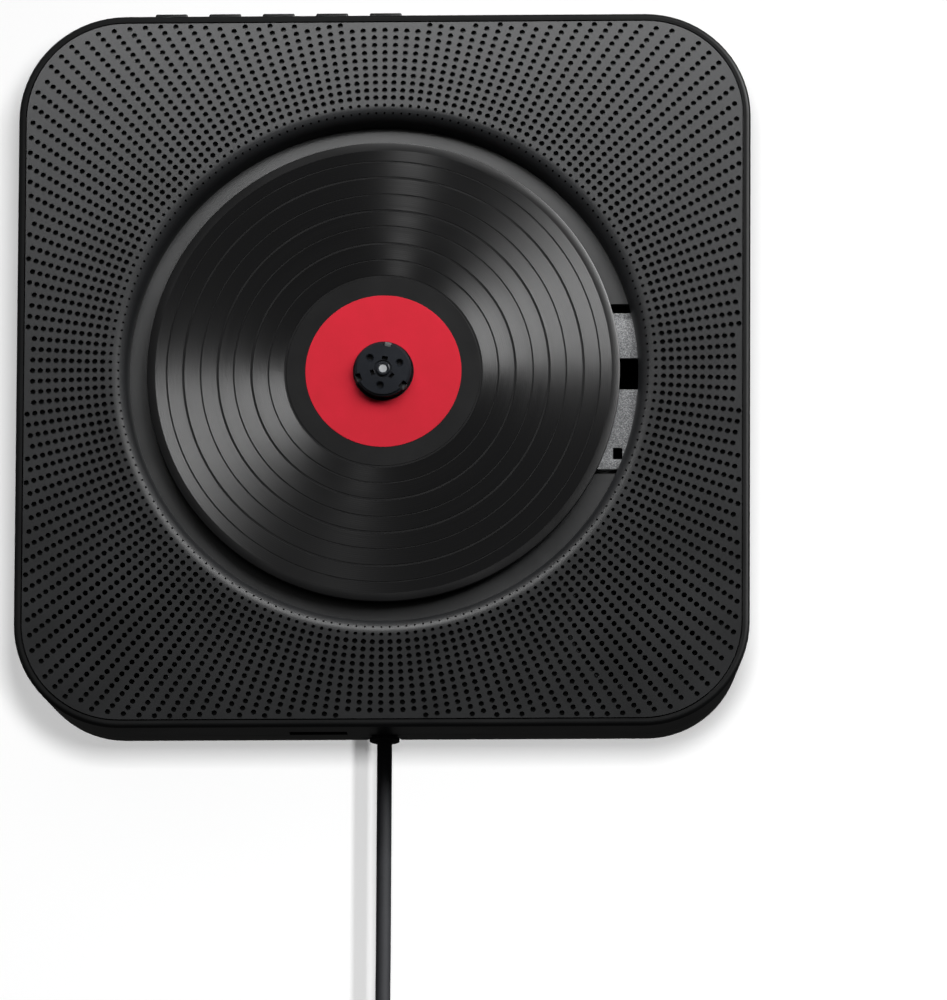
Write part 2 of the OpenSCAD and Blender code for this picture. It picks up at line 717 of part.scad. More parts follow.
module hub_cap() {
    color("#131315") stand() difference() {
        rotate_extrude($fn = 96) polygon([
            [spindle_d / 2, disc_z], [hub_d / 2, disc_z], [hub_d / 2, hub_top_z - 1],
                [hub_d / 2 - 0.5, hub_top_z - 0.35],
            [hub_d / 2 - 1.2, hub_top_z - 0.2], [1.8, hub_top_z - 0.1], [1.8, hub_top_z],
                [spindle_d / 2, hub_top_z]
        ]);
        for (a = jaw_angles) rotate([0, 0, a]) {
            block(jaw_start - jaw_travel - slide_gap, hub_d, -jaw_w / 2 - slide_gap,
                jaw_w / 2 + slide_gap, jaw_z - slide_gap,
                jaw_z + jaw_h + slide_gap);
            block(2, 3.1, -0.9, 0.9, hub_top_z - 1.2, hub_top_z + 1);
            rotate([0, 0, -60]) post([hub_hole_r, 0], 0.95, hub_top_z - 1.5, hub_top_z + 1);
        }
    }
}

module chuck_jaw(i) {
    color("#2a2a2c") stand() rotate([0, 0, jaw_angles[i]]) slab(jaw_z, jaw_z + jaw_h) polygon([
        [jaw_start, -jaw_w / 2], [jaw_start + jaw_len - 0.5, -jaw_w / 2], [jaw_start + jaw_len, -jaw_w / 4],
        [jaw_start + jaw_len, jaw_w / 4], [jaw_start + jaw_len - 0.5, jaw_w / 2], [jaw_start, jaw_w / 2]
    ]);
}

module disc() {
    color("#17181a") stand() rotate_extrude($fn = 96) difference() {
        translate([disc_bore_d / 2, disc_z]) square([(disc_d - disc_bore_d) / 2, disc_t]);
        for (r = groove_radii) translate([r - 0.25, disc_top_z - groove_depth]) square([0.5, 1]);
    }
}

module disc_label() {
    color("#c42a3c") stand() rotate_extrude($fn = 96)
        translate([label_bore_d / 2, disc_top_z]) square([(label_d - label_bore_d) / 2, label_t]);
}

module guide_rods() {
    color("lightgray") stand() for (rod = [[rod_y, rod_d], [thin_rod_y, thin_rod_d]])
        translate([lug_left_x + 0.2, rod[0], rod_z]) rotate([0, 90, 0])
            cylinder(d = rod[1], h = lug_right_x + lug_t - lug_left_x - 0.4);
}

module pickup_sled() {
    x0 = lens_start - sled_half;
    x1 = lens_start + sled_half;
    color("#3b3c40") stand() difference() {
        block(x0, x1, sled_low_y, sled_high_y, sled_z, sled_top_z);
        translate([x0 - 1, rod_y, rod_z]) rotate([0, 90, 0])
            cylinder(d = rod_d + slide_gap, h = 2 * sled_half + 2);
        block(x0 - 1, x1 + 1, thin_rod_y - thin_rod_d / 2 - slide_gap, sled_high_y + 1,
            rod_z - thin_rod_d / 2 - slide_gap / 2,
            rod_z + thin_rod_d / 2 + slide_gap / 2);
        block(lens_start - holder_x - pocket_gap, lens_start + holder_x + pocket_gap,
            -holder_y - pocket_gap,
            holder_y + pocket_gap, holder_z - pocket_gap, sled_top_z + 1);
    }
}

module sled_rack() {
    low_z = gear_z + gear_h + 0.3;
    high_z = gear_z + gear_h + small_gear_h;
    pitch = PI * tooth_m;
    color("#d8d6cf") stand() {
        block(gear_x - sled_travel - 2.5, gear_x + 3, rack_line_y + 0.7, rack_line_y + 0.7 + rack_body_t,
            low_z, high_z);
        block(lens_start - 8, lens_start + 8, rack_line_y + 0.7 + rack_body_t, sled_low_y, low_z, high_z);
        slab(low_z, high_z) for (k = [-floor((sled_travel + 1.5) / pitch):0])
            translate([gear_x + (k + 0.5) * pitch, rack_line_y])
            polygon([[-0.62, 0.75], [-0.22, -0.5], [0.22, -0.5], [0.62, 0.75]]);
    }
}

module lens_holder() {
    color("#1a1a1c") stand() block(lens_start - holder_x, lens_start + holder_x, -holder_y, holder_y,
        holder_z, holder_z + holder_h);
}

module objective_lens() {
    color("lightblue") stand() post([lens_start, 0], lens_d / 2, holder_z + holder_h,
        holder_z + holder_h + lens_h);
}

// A gear's outline, one tooth pointing at a given angle
function gear_outline(teeth, turn) = [for (k = [0:teeth - 1]) let(a = turn + 360 * k / teeth,
    root = (teeth / 2 - 1.25) * tooth_m,
    tip = (teeth / 2 + 0.8) * tooth_m) for (p = [[root, -0.55], [tip, -0.2], [tip, 0.2], [root, 0.55]])
    [p[0] * cos(a) - p[1] * sin(a), p[0] * sin(a) + p[1] * cos(a)]];

module drive_gear() {
    color("ivory") stand() difference() {
        union() {
            translate([gear_x, gear_y, 0]) slab(gear_z, gear_z + gear_h)
                polygon(gear_outline(gear_teeth, 90));
            translate([gear_x, gear_y, 0]) slab(gear_z + gear_h, gear_z + gear_h + small_gear_h)
                polygon(gear_outline(small_teeth, 90));
        }
        post([gear_x, gear_y], gear_pin_r + slide_gap / 2, gear_z - 1, face_z);
    }
}

module sled_motor() {
    color("silver") stand() difference() {
        post([pinion_x, pinion_y], sled_motor_d / 2, mech_frame_z - motor_h, mech_frame_z);
        post([pinion_x, pinion_y], motor_shaft_r + slide_gap / 2, mech_frame_z - 5, mech_top_z);
    }
}

module motor_pinion() {
    color("goldenrod") stand() union() {
        post([pinion_x, pinion_y], motor_shaft_r, mech_frame_z - 4.6, gear_z + gear_h + 0.6);
        translate([pinion_x, pinion_y, 0]) slab(gear_z, gear_z + gear_h)
            polygon(gear_outline(pinion_teeth, mesh_angle + 180 + 180 / pinion_teeth));
    }
}

module limit_switch() {
    color("#222226") stand() block(lug_left_x + 0.8, lens_start - sled_half - 0.4, 1.5, 6, mech_top_z,
        mech_top_z + 3);
}

// Boards, socket and buttons

module main_board() {
    color("#1f5a36") stand() block(board_low_x, board_low_x + board_w, board_low_y,
        board_low_y + board_h, board_z, board_top_z);
}

module board_chips() {
    color("#26262a") stand() {
        for (c = chips)
            block(board_low_x + c[0], board_low_x + c[0] + c[2], board_low_y + c[1],
                board_low_y + c[1] + c[3],
                board_top_z, board_top_z + chip_t);
        for (x = lead_plug_x)
            block(board_low_x + x, board_low_x + x + lead_plug_w, board_low_y, board_low_y + lead_plug_len,
                board_top_z, board_top_z + lead_plug_h);
    }
}

module capacitors() {
    color("#30343c") stand() for (c = cans)
        post([board_low_x + c[0], board_low_y + c[1]], c[2], board_top_z, board_top_z + can_h);
}

module usb_board() {
    color("#1f5a36") stand() block(port_x - 11, port_x + 6.5, socket_y + 1, socket_y + 18,
        port_z - socket_h / 2 - board_t,
        port_z - socket_h / 2);
}

module usb_socket() {
    color("silver") stand() union() {
        difference() {
            block(port_x - socket_w / 2, port_x + socket_w / 2, socket_y, socket_y + socket_len,
                port_z - socket_h / 2,
                port_z + socket_h / 2);
            block(port_x - socket_w / 2 + socket_wall, port_x + socket_w / 2 - socket_wall, socket_y - 1,
                socket_y + 10.5,
                port_z - socket_h / 2 + socket_wall, port_z + socket_h / 2 - socket_wall);
        }
        block(port_x - 5.6, port_x + 5.6, socket_y + 2.2, socket_y + 10.5, port_z - 2.3, port_z - 0.5);
    }
}

module button_board() {
    color("#1f5a36") stand() block(button_board_low_x, button_board_low_x + button_board_w, button_board_y,
        button_board_y + board_t, split_z + 5.5, frame_z - 0.6);
}

module tact_switches() {
    color("#2a2a2e") stand() for (i = [0:4])
        translate([button_first_x + i * button_pitch, button_board_y + board_t, button_z]) {
        translate([-3, 0, -3]) cube([6, switch_h - 0.4, 6]);
        rotate([-90, 0, 0]) cylinder(r = 1.75, h = switch_h);
    }
}

module button(i) {
    x = button_first_x + i * button_pitch;
    half = button_w / 2;
    over = button_flange_over;
    color("#232528") stand() union() {
        block(x - half, x + half, button_low_y, button_top_y, button_z - button_depth / 2,
            button_z + button_depth / 2);
        block(x - half - over, x + half + over, button_flange_y - button_flange_t, button_flange_y,
            button_z - button_depth / 2 - over, button_z + button_depth / 2 + over);
    }
}

module ir_receiver() {
    color("#2b1d33") stand() {
        block(56, 62, 56, 61, floor_z, floor_z + 1.6);
        post([59, 58.5], 2, floor_z + 1.6, frame_z - 0.2);
    }
}

// One speaker's motor, basket and flange, and its cone

module speaker(side) {
    color("#55575a") stand() translate([side * speaker_offset, -speaker_offset, 0])
        rotate_extrude($fn = 96) polygon([
        [0, magnet_z], [magnet_d / 2, magnet_z], [magnet_d / 2, magnet_z + magnet_h],
            [basket_r - 0.4, flange_z],
        [speaker_d / 2, flange_z], [speaker_d / 2, flange_z + flange_t], [cone_r, flange_z + flange_t],
        [cone_r, flange_z], [magnet_d / 2 - 2, magnet_z + magnet_h + 1.5], [0, magnet_z + magnet_h + 1.5]
    ]);
}

module speaker_cone(side) {
    color("#2c2c2e") stand() translate([side * speaker_offset, -speaker_offset, 0])
        rotate_extrude($fn = 96) polygon([
        [0, magnet_z + magnet_h + 1.7], [3, magnet_z + magnet_h + 1.7], [cone_r - 1.6, flange_z + 0.4],
        [cone_r - 0.2, flange_z + 0.9], [cone_r - 0.2, flange_z + 1.4], [cone_r - 1.6, flange_z + 1],
            [5, magnet_z + magnet_h + 3.6],
        [3, magnet_z + magnet_h + 4.6], [0, magnet_z + magnet_h + 5]
    ]);
}

module speaker_leads() {
    color("#303030") stand() for (lead = [left_lead, right_lead])
        tube(lead, lead_r, 8, [0, -1, 0], [0, 0, 1], lead_up);
}

// The pull switch, and the cord with what is on it

module pull_switch() {
    color("#1c1c20") stand() difference() {
        block(-8, 8, switch_low_y, switch_low_y + 16, cord_z - 7, cord_z + 6);
        translate([0, switch_low_y - 1, cord_z]) rotate([-90, 0, 0]) cylinder(r = 2.9, h = 12);
    }
}

module switch_slider() {
    color("#d8d6cf") stand() translate([0, clamp_y, cord_z]) rotate([-90, 0, 0])
        cylinder(r = slider_r, h = 10.5);
}

module return_spring() {
    color("silver") stand() translate([0, switch_low_y + 5, cord_z]) rotate([-90, 0, 0]) difference() {
        cylinder(r = 2.8, h = 6);
        translate([0, 0, -1]) cylinder(r = slider_r + 0.2, h = 8);
    }
}

module cord_clamp() {
    color("#18181a") stand() translate([0, cord_top_y, cord_z]) rotate([-90, 0, 0])
        cylinder(r = clamp_r, h = clamp_len);
}

module cord_grommet() {
    color("#111111") stand() translate([0, bottom_y, cord_z]) rotate([-90, 0, 0]) difference() {
        union() {
            translate([0, 0, -1.2]) cylinder(r = grommet_r + 0.6, h = 0.7);
            translate([0, 0, -0.6]) cylinder(r = grommet_r - 0.05, h = wall_t + 1.2);
        }
        translate([0, 0, -4]) cylinder(r = cord_d / 2 + 0.3, h = 10);
    }
}

module cord() {
    color("#0e0e0f") stand() tube(cord_points(), cord_d / 2, cord_sides, [0, -1, 0], [0, -1, 0]);
}

module cord_coil() {
    color("#0e0e0f") stand() tube(coil_points, cord_d / 2, coil_sides, [0, -1, 0], [0, -1, 0]);
}

module cord_tie() {
    inner_r = coil_outer_r - coil_layer_turns * coil_step - cord_d / 2 - tie_gap;
    outer_r = coil_outer_r + cord_d / 2 + tie_gap;
    low_z = coil_back_z - cord_d / 2 - tie_gap / 2;
    high_z = cord_z + cord_d / 2 + tie_gap / 2;
    color("#1a1a1a") stand() translate([coil_x, coil_y, 0]) rotate([0, 0, 120]) difference() {
        block(inner_r - tie_t, outer_r + tie_t, -2, 2, low_z - tie_t, high_z + tie_t);
        block(inner_r, outer_r, -3, 3, low_z, high_z);
    }
}

module cord_tail() {
    color("#0e0e0f") stand() tube(tail_points(), cord_d / 2, cord_sides, [0, -1, 0], [0, -1, 0]);
}

module plug_body() {
    color("#121213") stand() block(plug_x - plug_w / 2, plug_x + plug_w / 2, plug_y - plug_len, plug_y,
        plug_z - plug_t / 2, plug_z + plug_t / 2);
}

module plug_shell() {
    low_y = plug_y - plug_len - shell_len;
    color("silver") stand() difference() {
        block(plug_x - shell_w / 2, plug_x + shell_w / 2, low_y, plug_y - plug_len,
            plug_z - shell_t / 2, plug_z + shell_t / 2);
        block(plug_x - shell_w / 2 + shell_wall, plug_x + shell_w / 2 - shell_wall, low_y - 1, low_y + 9,
            plug_z, plug_z + shell_t / 2 - shell_wall);
    }
}

wall_plate();
foot_pads();
rear_cover();
rear_screws();
front_housing();
inner_frame();
front_grille();
disc_deck();
dampers();
mech_screws();
mech_frame();
mech_plate();
spindle_motor();
spindle_shaft();
turntable();
hub_cap();
chuck_jaw(0);  // chuck_jaw_1
chuck_jaw(1);  // chuck_jaw_2
chuck_jaw(2);  // chuck_jaw_3
disc();
disc_label();
guide_rods();
pickup_sled();
sled_rack();
lens_holder();
objective_lens();
drive_gear();
sled_motor();
motor_pinion();
limit_switch();
main_board();
board_chips();
capacitors();
usb_board();
usb_socket();
button_board();
tact_switches();
button(0);  // button_1
button(1);  // button_2
button(2);  // button_3
button(3);  // button_4
button(4);  // button_5
ir_receiver();
speaker(-1);  // speaker_left
speaker_cone(-1);  // speaker_left_cone
speaker(1);  // speaker_right
speaker_cone(1);  // speaker_right_cone
speaker_leads();
pull_switch();
switch_slider();
return_spring();
cord_clamp();
cord_grommet();
cord();
cord_coil();
cord_tie();
cord_tail();
plug_body();
plug_shell();
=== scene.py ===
"""Dresses a wall mounted disc player: perforated front, bare disc, top buttons and a pull cord.

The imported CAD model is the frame. Lengths are millimetres in the sizes below and metres in Blender.
A place is given as on the drawing: x to the right, up, and off the wall.
"""

import json
import logging
import math
from collections.abc import Callable, Sequence
from dataclasses import dataclass
from enum import Enum

import bmesh
import bpy
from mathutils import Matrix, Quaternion, Vector


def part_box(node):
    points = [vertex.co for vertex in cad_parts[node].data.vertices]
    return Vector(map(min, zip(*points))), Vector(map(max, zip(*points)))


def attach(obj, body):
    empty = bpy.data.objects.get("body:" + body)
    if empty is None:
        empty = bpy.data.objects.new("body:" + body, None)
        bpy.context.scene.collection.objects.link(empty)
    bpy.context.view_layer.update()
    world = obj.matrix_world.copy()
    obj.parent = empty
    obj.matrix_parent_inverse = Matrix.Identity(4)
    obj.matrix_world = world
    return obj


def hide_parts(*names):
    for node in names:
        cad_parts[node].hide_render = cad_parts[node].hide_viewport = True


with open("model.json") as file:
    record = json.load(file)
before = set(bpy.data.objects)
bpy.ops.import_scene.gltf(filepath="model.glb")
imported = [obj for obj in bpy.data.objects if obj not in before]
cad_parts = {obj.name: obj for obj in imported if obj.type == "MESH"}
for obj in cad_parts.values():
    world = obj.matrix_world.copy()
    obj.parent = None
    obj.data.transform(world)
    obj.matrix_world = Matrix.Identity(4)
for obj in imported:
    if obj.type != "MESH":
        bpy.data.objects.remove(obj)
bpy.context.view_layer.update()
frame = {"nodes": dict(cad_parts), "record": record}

LOG = logging.getLogger("disc_player")
MM = 0.001
TURN = 2 * math.pi
SHARP = math.radians(35)  # an edge sharper than this is rounded, and shaded as an edge
STRAIGHT = 0.9  # how much of an edge's direction lies along an axis when it counts as parallel
OFF_THE_WALL = (math.pi / 2, 0, 0)  # turns an upright cylinder or a flat plane to face the room


def spot(x: float, up: float, off: float) -> Vector:
    """Turns a place on the drawing into the row frame.

    Args:
        x: millimetres to the right of the spindle.
        up: millimetres above the spindle.
        off: millimetres off the wall.

    Returns:
        The point in metres.
    """
    return Vector((x * MM, -off * MM, up * MM))


def linear(code: str) -> tuple[float, float, float, float]:
    """Turns an sRGB hex code into the linear colour that a shader takes.

    Args:
        code: such as "#c32639".

    Returns:
        Red, green, blue and an alpha of 1.
    """
    parts = [int(code[i:i + 2], 16) / 255 for i in (1, 3, 5)]
    return (*(p / 12.92 if p <= 0.04045 else ((p + 0.055) / 1.055) ** 2.4 for p in parts), 1.0)


def add(
    tree: bpy.types.NodeTree,
    kind: str,
    settings: dict[str, object] | None = None,
    inputs: dict[str | int, object] | None = None,
) -> bpy.types.Node:
    """Adds a node to a tree with its settings, values and links.

    Args:
        tree: the node tree.
        kind: the node's type without its "ShaderNode".
        settings: properties of the node.
        inputs: a value, or another node's socket to link, for each named input.

    Returns:
        The new node.
    """
    node = tree.nodes.new("ShaderNode" + kind)
    for name, value in (settings or {}).items():
        setattr(node, name, value)
    for name, value in (inputs or {}).items():
        if isinstance(value, bpy.types.NodeSocket):
            tree.links.new(value, node.inputs[name])
        else:
            node.inputs[name].default_value = value
    return node


def empty_nodes(owner: bpy.types.Material | bpy.types.World) -> bpy.types.NodeTree:
    """Switches a material or a world to nodes and clears them."""
    owner.use_nodes = True
    owner.node_tree.nodes.clear()
    return owner.node_tree


def upright(_: Vector, way: Vector) -> bool:
    """Says whether an edge runs up and down."""
    return abs(way.z) > STRAIGHT


class Turned(Enum):
    """The line that a lathe-made piece turns about."""

    OFF_WALL = "off the wall"
    UPRIGHT = "upright"


class Solid(Enum):
    """What a boolean step does with its tool."""

    CUT = "DIFFERENCE"
    KEEP = "INTERSECT"
    JOIN = "UNION"


class Part(Enum):
    """What an edit step selects."""

    CORNER = "VERT"
    EDGE = "EDGE"


# Finishes


@dataclass(frozen=True)
class Finish:
    """A surface as its maker would order it."""

    name: str
    colour: str
    roughness: float
    ior: float = 1.5
    metallic: float = 0.0

    def material(self) -> bpy.types.Material:
        """Builds the material, or finds it if it is built.

        Returns:
            The material.
        """
        found = bpy.data.materials.get(self.name)
        if found:
            return found
        material = bpy.data.materials.new(self.name)
        tree = empty_nodes(material)
        shader = add(tree, "BsdfPrincipled", inputs={
            "Base Color": linear(self.colour), "Roughness": self.roughness,
            "IOR": self.ior, "Metallic": self.metallic,
        })
        self.pattern(tree, shader)
        add(tree, "OutputMaterial", inputs={"Surface": shader.outputs["BSDF"]})
        return material

    def pattern(self, tree: bpy.types.NodeTree, shader: bpy.types.Node) -> None:
        """Adds the surface's own pattern.

        Args:
            tree: the material's nodes.
            shader: its principled shader.
        """


@dataclass(frozen=True)
class Mottled(Finish):
    """A surface with a fine grain in its relief, and slow clouds in its colour and gloss."""

    lighter: str = "#232426"
    grain_mm: float = 0.45
    depth_mm: float = 0.006
    cloud_mm: float = 18.0
    gloss: float = 0.05

    def pattern(self, tree: bpy.types.NodeTree, shader: bpy.types.Node) -> None:
        """Adds the grain and the clouds."""
        place = add(tree, "TexCoord").outputs["Object"]
        grain, cloud = (
            add(tree, "TexNoise", inputs={
                "Vector": place, "Scale": 1 / (size * MM), "Detail": detail, "Roughness": decay,
            }).outputs["Fac"]
            for size, detail, decay in ((self.grain_mm, 2.0, 0.6), (self.cloud_mm, 4.0, 0.55)))
        both = add(tree, "Math", {"operation": "MULTIPLY_ADD"}, {0: grain, 1: 0.45, 2: cloud})
        shade = add(tree, "MapRange", inputs={
            "Value": both.outputs[0], "From Min": 0.45, "From Max": 1.0})
        tint = add(tree, "Mix", {"data_type": "RGBA"}, {
            "Factor": shade.outputs[0], 6: linear(self.colour), 7: linear(self.lighter)})
        tree.links.new(tint.outputs[2], shader.inputs["Base Color"])
        rough = add(tree, "MapRange", inputs={
            "Value": both.outputs[0], "From Min": 0.4, "From Max": 1.05,
            "To Min": self.roughness - self.gloss, "To Max": self.roughness + self.gloss})
        tree.links.new(rough.outputs[0], shader.inputs["Roughness"])
        relief = add(tree, "Bump", inputs={
            "Strength": 1.0, "Distance": self.depth_mm * MM, "Height": grain})
        tree.links.new(relief.outputs["Normal"], shader.inputs["Normal"])


@dataclass(frozen=True)
class MouldedPlastic(Mottled):
    """ABS from a spark-eroded mould: a dull, even grain that breaks up the gloss."""


@dataclass(frozen=True)
class GroovedVinyl(Finish):
    """A pressed black disc: rings so fine that the light runs across them in fans."""

    groove_mm: float = 0.5
    depth_mm: float = 0.004
    band_mm: float = 2.4
    inner_mm: float = 24.9
    outer_mm: float = 57.9
    fade_mm: float = 0.3

    def pattern(self, tree: bpy.types.NodeTree, shader: bpy.types.Node) -> None:
        """Adds the rings, which are drawn coarser than real ones so that they show."""
        place = add(tree, "TexCoord").outputs["Object"]
        flat = add(tree, "VectorMath", {"operation": "MULTIPLY"}, {0: place, 1: (1.0, 0.0, 1.0)})
        radius = add(tree, "VectorMath", {"operation": "LENGTH"}, {
            0: flat.outputs[0]}).outputs["Value"]
        band = add(tree, "TexNoise", {"noise_dimensions": "1D"}, {
            "W": radius, "Scale": 1 / (self.band_mm * MM), "Detail": 4.0, "Roughness": 0.7})
        turns = add(tree, "Math", {"operation": "MULTIPLY"}, {
            0: radius, 1: TURN / (self.groove_mm * MM)})
        fine = add(tree, "Math", {"operation": "SINE"}, {0: turns.outputs[0]})
        inside, outside = (
            add(tree, "MapRange", {"interpolation_type": "SMOOTHSTEP"}, {
                "Value": radius, "From Min": none * MM, "From Max": full * MM}).outputs[0]
            for none, full in ((self.inner_mm, self.inner_mm + self.fade_mm),
                               (self.outer_mm + self.fade_mm, self.outer_mm)))
        grooved = add(tree, "Math", {"operation": "MULTIPLY"}, {0: inside, 1: outside})
        height = add(tree, "Math", {"operation": "MULTIPLY"}, {
            0: fine.outputs[0], 1: grooved.outputs[0]})
        relief = add(tree, "Bump", inputs={
            "Strength": 1.0, "Distance": self.depth_mm * MM, "Height": height.outputs[0]})
        rough = add(tree, "MapRange", inputs={
            "Value": band.outputs["Fac"], "From Min": 0.3, "From Max": 0.7,
            "To Min": self.roughness - 0.05, "To Max": self.roughness + 0.06})
        shader.inputs["Anisotropic"].default_value = 1.0
        shader.inputs["Anisotropic Rotation"].default_value = 0.25
        around = add(tree, "Tangent", {"direction_type": "RADIAL", "axis": "Y"})
        tree.links.new(around.outputs[0], shader.inputs["Tangent"])
        tree.links.new(rough.outputs[0], shader.inputs["Roughness"])
        tree.links.new(relief.outputs["Normal"], shader.inputs["Normal"])


@dataclass(frozen=True)
class PrintedPaper(Mottled):
    """A coated paper label: flat, matte ink with faint fibres under it."""

    grain_mm: float = 0.35
    depth_mm: float = 0.003
    cloud_mm: float = 9.0
    gloss: float = 0.04

    def pattern(self, tree: bpy.types.NodeTree, shader: bpy.types.Node) -> None:
        """Takes down the shine, and adds the fibres."""
        shader.inputs["Specular IOR Level"].default_value = 0.2
        super().pattern(tree, shader)


@dataclass(frozen=True)
class SpeckledPaint(Finish):
    """Grey hammered paint on a pressed plate: light and dark flecks under a satin coat."""

    darker: str = "#3c3d3e"
    lighter: str = "#9a9b9c"
    fleck_mm: float = 0.3
    depth_mm: float = 0.02

    def pattern(self, tree: bpy.types.NodeTree, shader: bpy.types.Node) -> None:
        """Adds the flecks."""
        place = add(tree, "TexCoord").outputs["Object"]
        fleck = add(tree, "TexNoise", inputs={
            "Vector": place, "Scale": 1 / (self.fleck_mm * MM), "Detail": 3.0, "Roughness": 0.75})
        ramp = add(tree, "ValToRGB", inputs={"Fac": fleck.outputs["Fac"]})
        stops = ramp.color_ramp.elements
        stops[0].position, stops[0].color = 0.36, linear(self.darker)
        stops[1].position, stops[1].color = 0.66, linear(self.lighter)
        stops.new(0.5).color = linear(self.colour)
        tree.links.new(ramp.outputs["Color"], shader.inputs["Base Color"])
        relief = add(tree, "Bump", inputs={
            "Strength": 1.0, "Distance": self.depth_mm * MM, "Height": fleck.outputs["Fac"]})
        tree.links.new(relief.outputs["Normal"], shader.inputs["Normal"])


@dataclass(frozen=True)
class Rubber(Mottled):
    """Dull black rubber: a chalky bloom and a soft, open grain."""

    lighter: str = "#1f1f1f"
    grain_mm: float = 0.6
    depth_mm: float = 0.012
    cloud_mm: float = 6.0


@dataclass(frozen=True)
class CableJacket(Mottled):
    """Extruded PVC: a dull shine along the cord with slight ripples from the extruder."""

    lighter: str = "#303135"
    grain_mm: float = 0.8
    depth_mm: float = 0.008
    cloud_mm: float = 12.0
    gloss: float = 0.04


@dataclass(frozen=True)
class Metal(Finish):
    """Bare or plated metal: fine scratches one way and faint stains."""

    metallic: float = 1.0
    lighter: str = "#c4c6c8"
    scratch: tuple[float, float, float] = (0.08, 1.0, 1.0)
    scratch_mm: float = 0.3
    stain_mm: float = 7.0

    def pattern(self, tree: bpy.types.NodeTree, shader: bpy.types.Node) -> None:
        """Adds the scratches, stretched along one direction, and the stains."""
        place = add(tree, "TexCoord").outputs["Object"]
        drawn = add(tree, "Mapping", inputs={"Vector": place, "Scale": self.scratch})
        line = add(tree, "TexNoise", inputs={
            "Vector": drawn.outputs[0], "Scale": 1 / (self.scratch_mm * MM), "Detail": 3.0})
        stain = add(tree, "TexNoise", inputs={
            "Vector": place, "Scale": 1 / (self.stain_mm * MM), "Detail": 5.0, "Roughness": 0.6})
        tint = add(tree, "Mix", {"data_type": "RGBA"}, {
            "Factor": stain.outputs["Fac"], 6: linear(self.colour), 7: linear(self.lighter)})
        tree.links.new(tint.outputs[2], shader.inputs["Base Color"])
        rough = add(tree, "MapRange", inputs={
            "Value": line.outputs["Fac"], "From Min": 0.3, "From Max": 0.7,
            "To Min": self.roughness - 0.08, "To Max": self.roughness + 0.08})
        tree.links.new(rough.outputs[0], shader.inputs["Roughness"])
        relief = add(tree, "Bump", inputs={
            "Strength": 1.0, "Distance": 0.002 * MM, "Height": line.outputs["Fac"]})
        tree.links.new(relief.outputs["Normal"], shader.inputs["Normal"])


@dataclass(frozen=True)
class Acetal(Mottled):
    """Moulded acetal gear plastic: milky, a little waxy, with faint flow marks."""

    lighter: str = "#e6e3da"
    grain_mm: float = 0.9
    depth_mm: float = 0.004
    cloud_mm: float = 3.0
    gloss: float = 0.04

    def pattern(self, tree: bpy.types.NodeTree, shader: bpy.types.Node) -> None:
        """Lets the light in a little, and adds the flow marks."""
        shader.inputs["Subsurface Weight"].default_value = 0.15
        shader.inputs["Subsurface Scale"].default_value = 0.8 * MM
        super().pattern(tree, shader)


@dataclass(frozen=True)
class LensGlass(Finish):
    """A coated pickup lens: clear plastic with a violet-blue reflection."""

    dust_mm: float = 0.25

    def pattern(self, tree: bpy.types.NodeTree, shader: bpy.types.Node) -> None:
        """Adds the clear body, the coating and a few dust specks."""
        shader.inputs["Transmission Weight"].default_value = 0.8
        shader.inputs["Coat Weight"].default_value = 1.0
        shader.inputs["Coat Tint"].default_value = linear("#8f9cff")
        dust = add(tree, "TexNoise", inputs={
            "Vector": add(tree, "TexCoord").outputs["Object"], "Scale": 1 / (self.dust_mm * MM),
            "Detail": 2.0})
        rough = add(tree, "MapRange", inputs={
            "Value": dust.outputs["Fac"], "From Min": 0.55, "From Max": 0.75, "To Max": 0.3})
        tree.links.new(rough.outputs[0], shader.inputs["Roughness"])


@dataclass(frozen=True)
class SolderMask(Finish):
    """Green lacquer over copper tracks, which show as lighter lines a millimetre apart."""

    lighter: str = "#2f7a48"

    def pattern(self, tree: bpy.types.NodeTree, shader: bpy.types.Node) -> None:
        """Adds the tracks."""
        place = add(tree, "TexCoord").outputs["Object"]
        cells = add(tree, "TexVoronoi", {"distance": "MANHATTAN"}, {
            "Vector": place, "Scale": 1 / (4 * MM)})
        track = add(tree, "TexWave", {"bands_direction": "X"}, {
            "Vector": cells.outputs["Position"], "Scale": 0.3 / MM, "Distortion": 1.5})
        tint = add(tree, "Mix", {"data_type": "RGBA"}, {
            "Factor": track.outputs["Fac"], 6: linear(self.colour), 7: linear(self.lighter)})
        tree.links.new(tint.outputs[2], shader.inputs["Base Color"])
        relief = add(tree, "Bump", inputs={
            "Strength": 1.0, "Distance": 0.03 * MM, "Height": track.outputs["Fac"]})
        tree.links.new(relief.outputs["Normal"], shader.inputs["Normal"])


@dataclass(frozen=True)
class PulpCone(Mottled):
    """Pressed paper pulp: matte, with felted fibres."""

    lighter: str = "#3b3a38"
    grain_mm: float = 0.5
    depth_mm: float = 0.05
    cloud_mm: float = 2.0


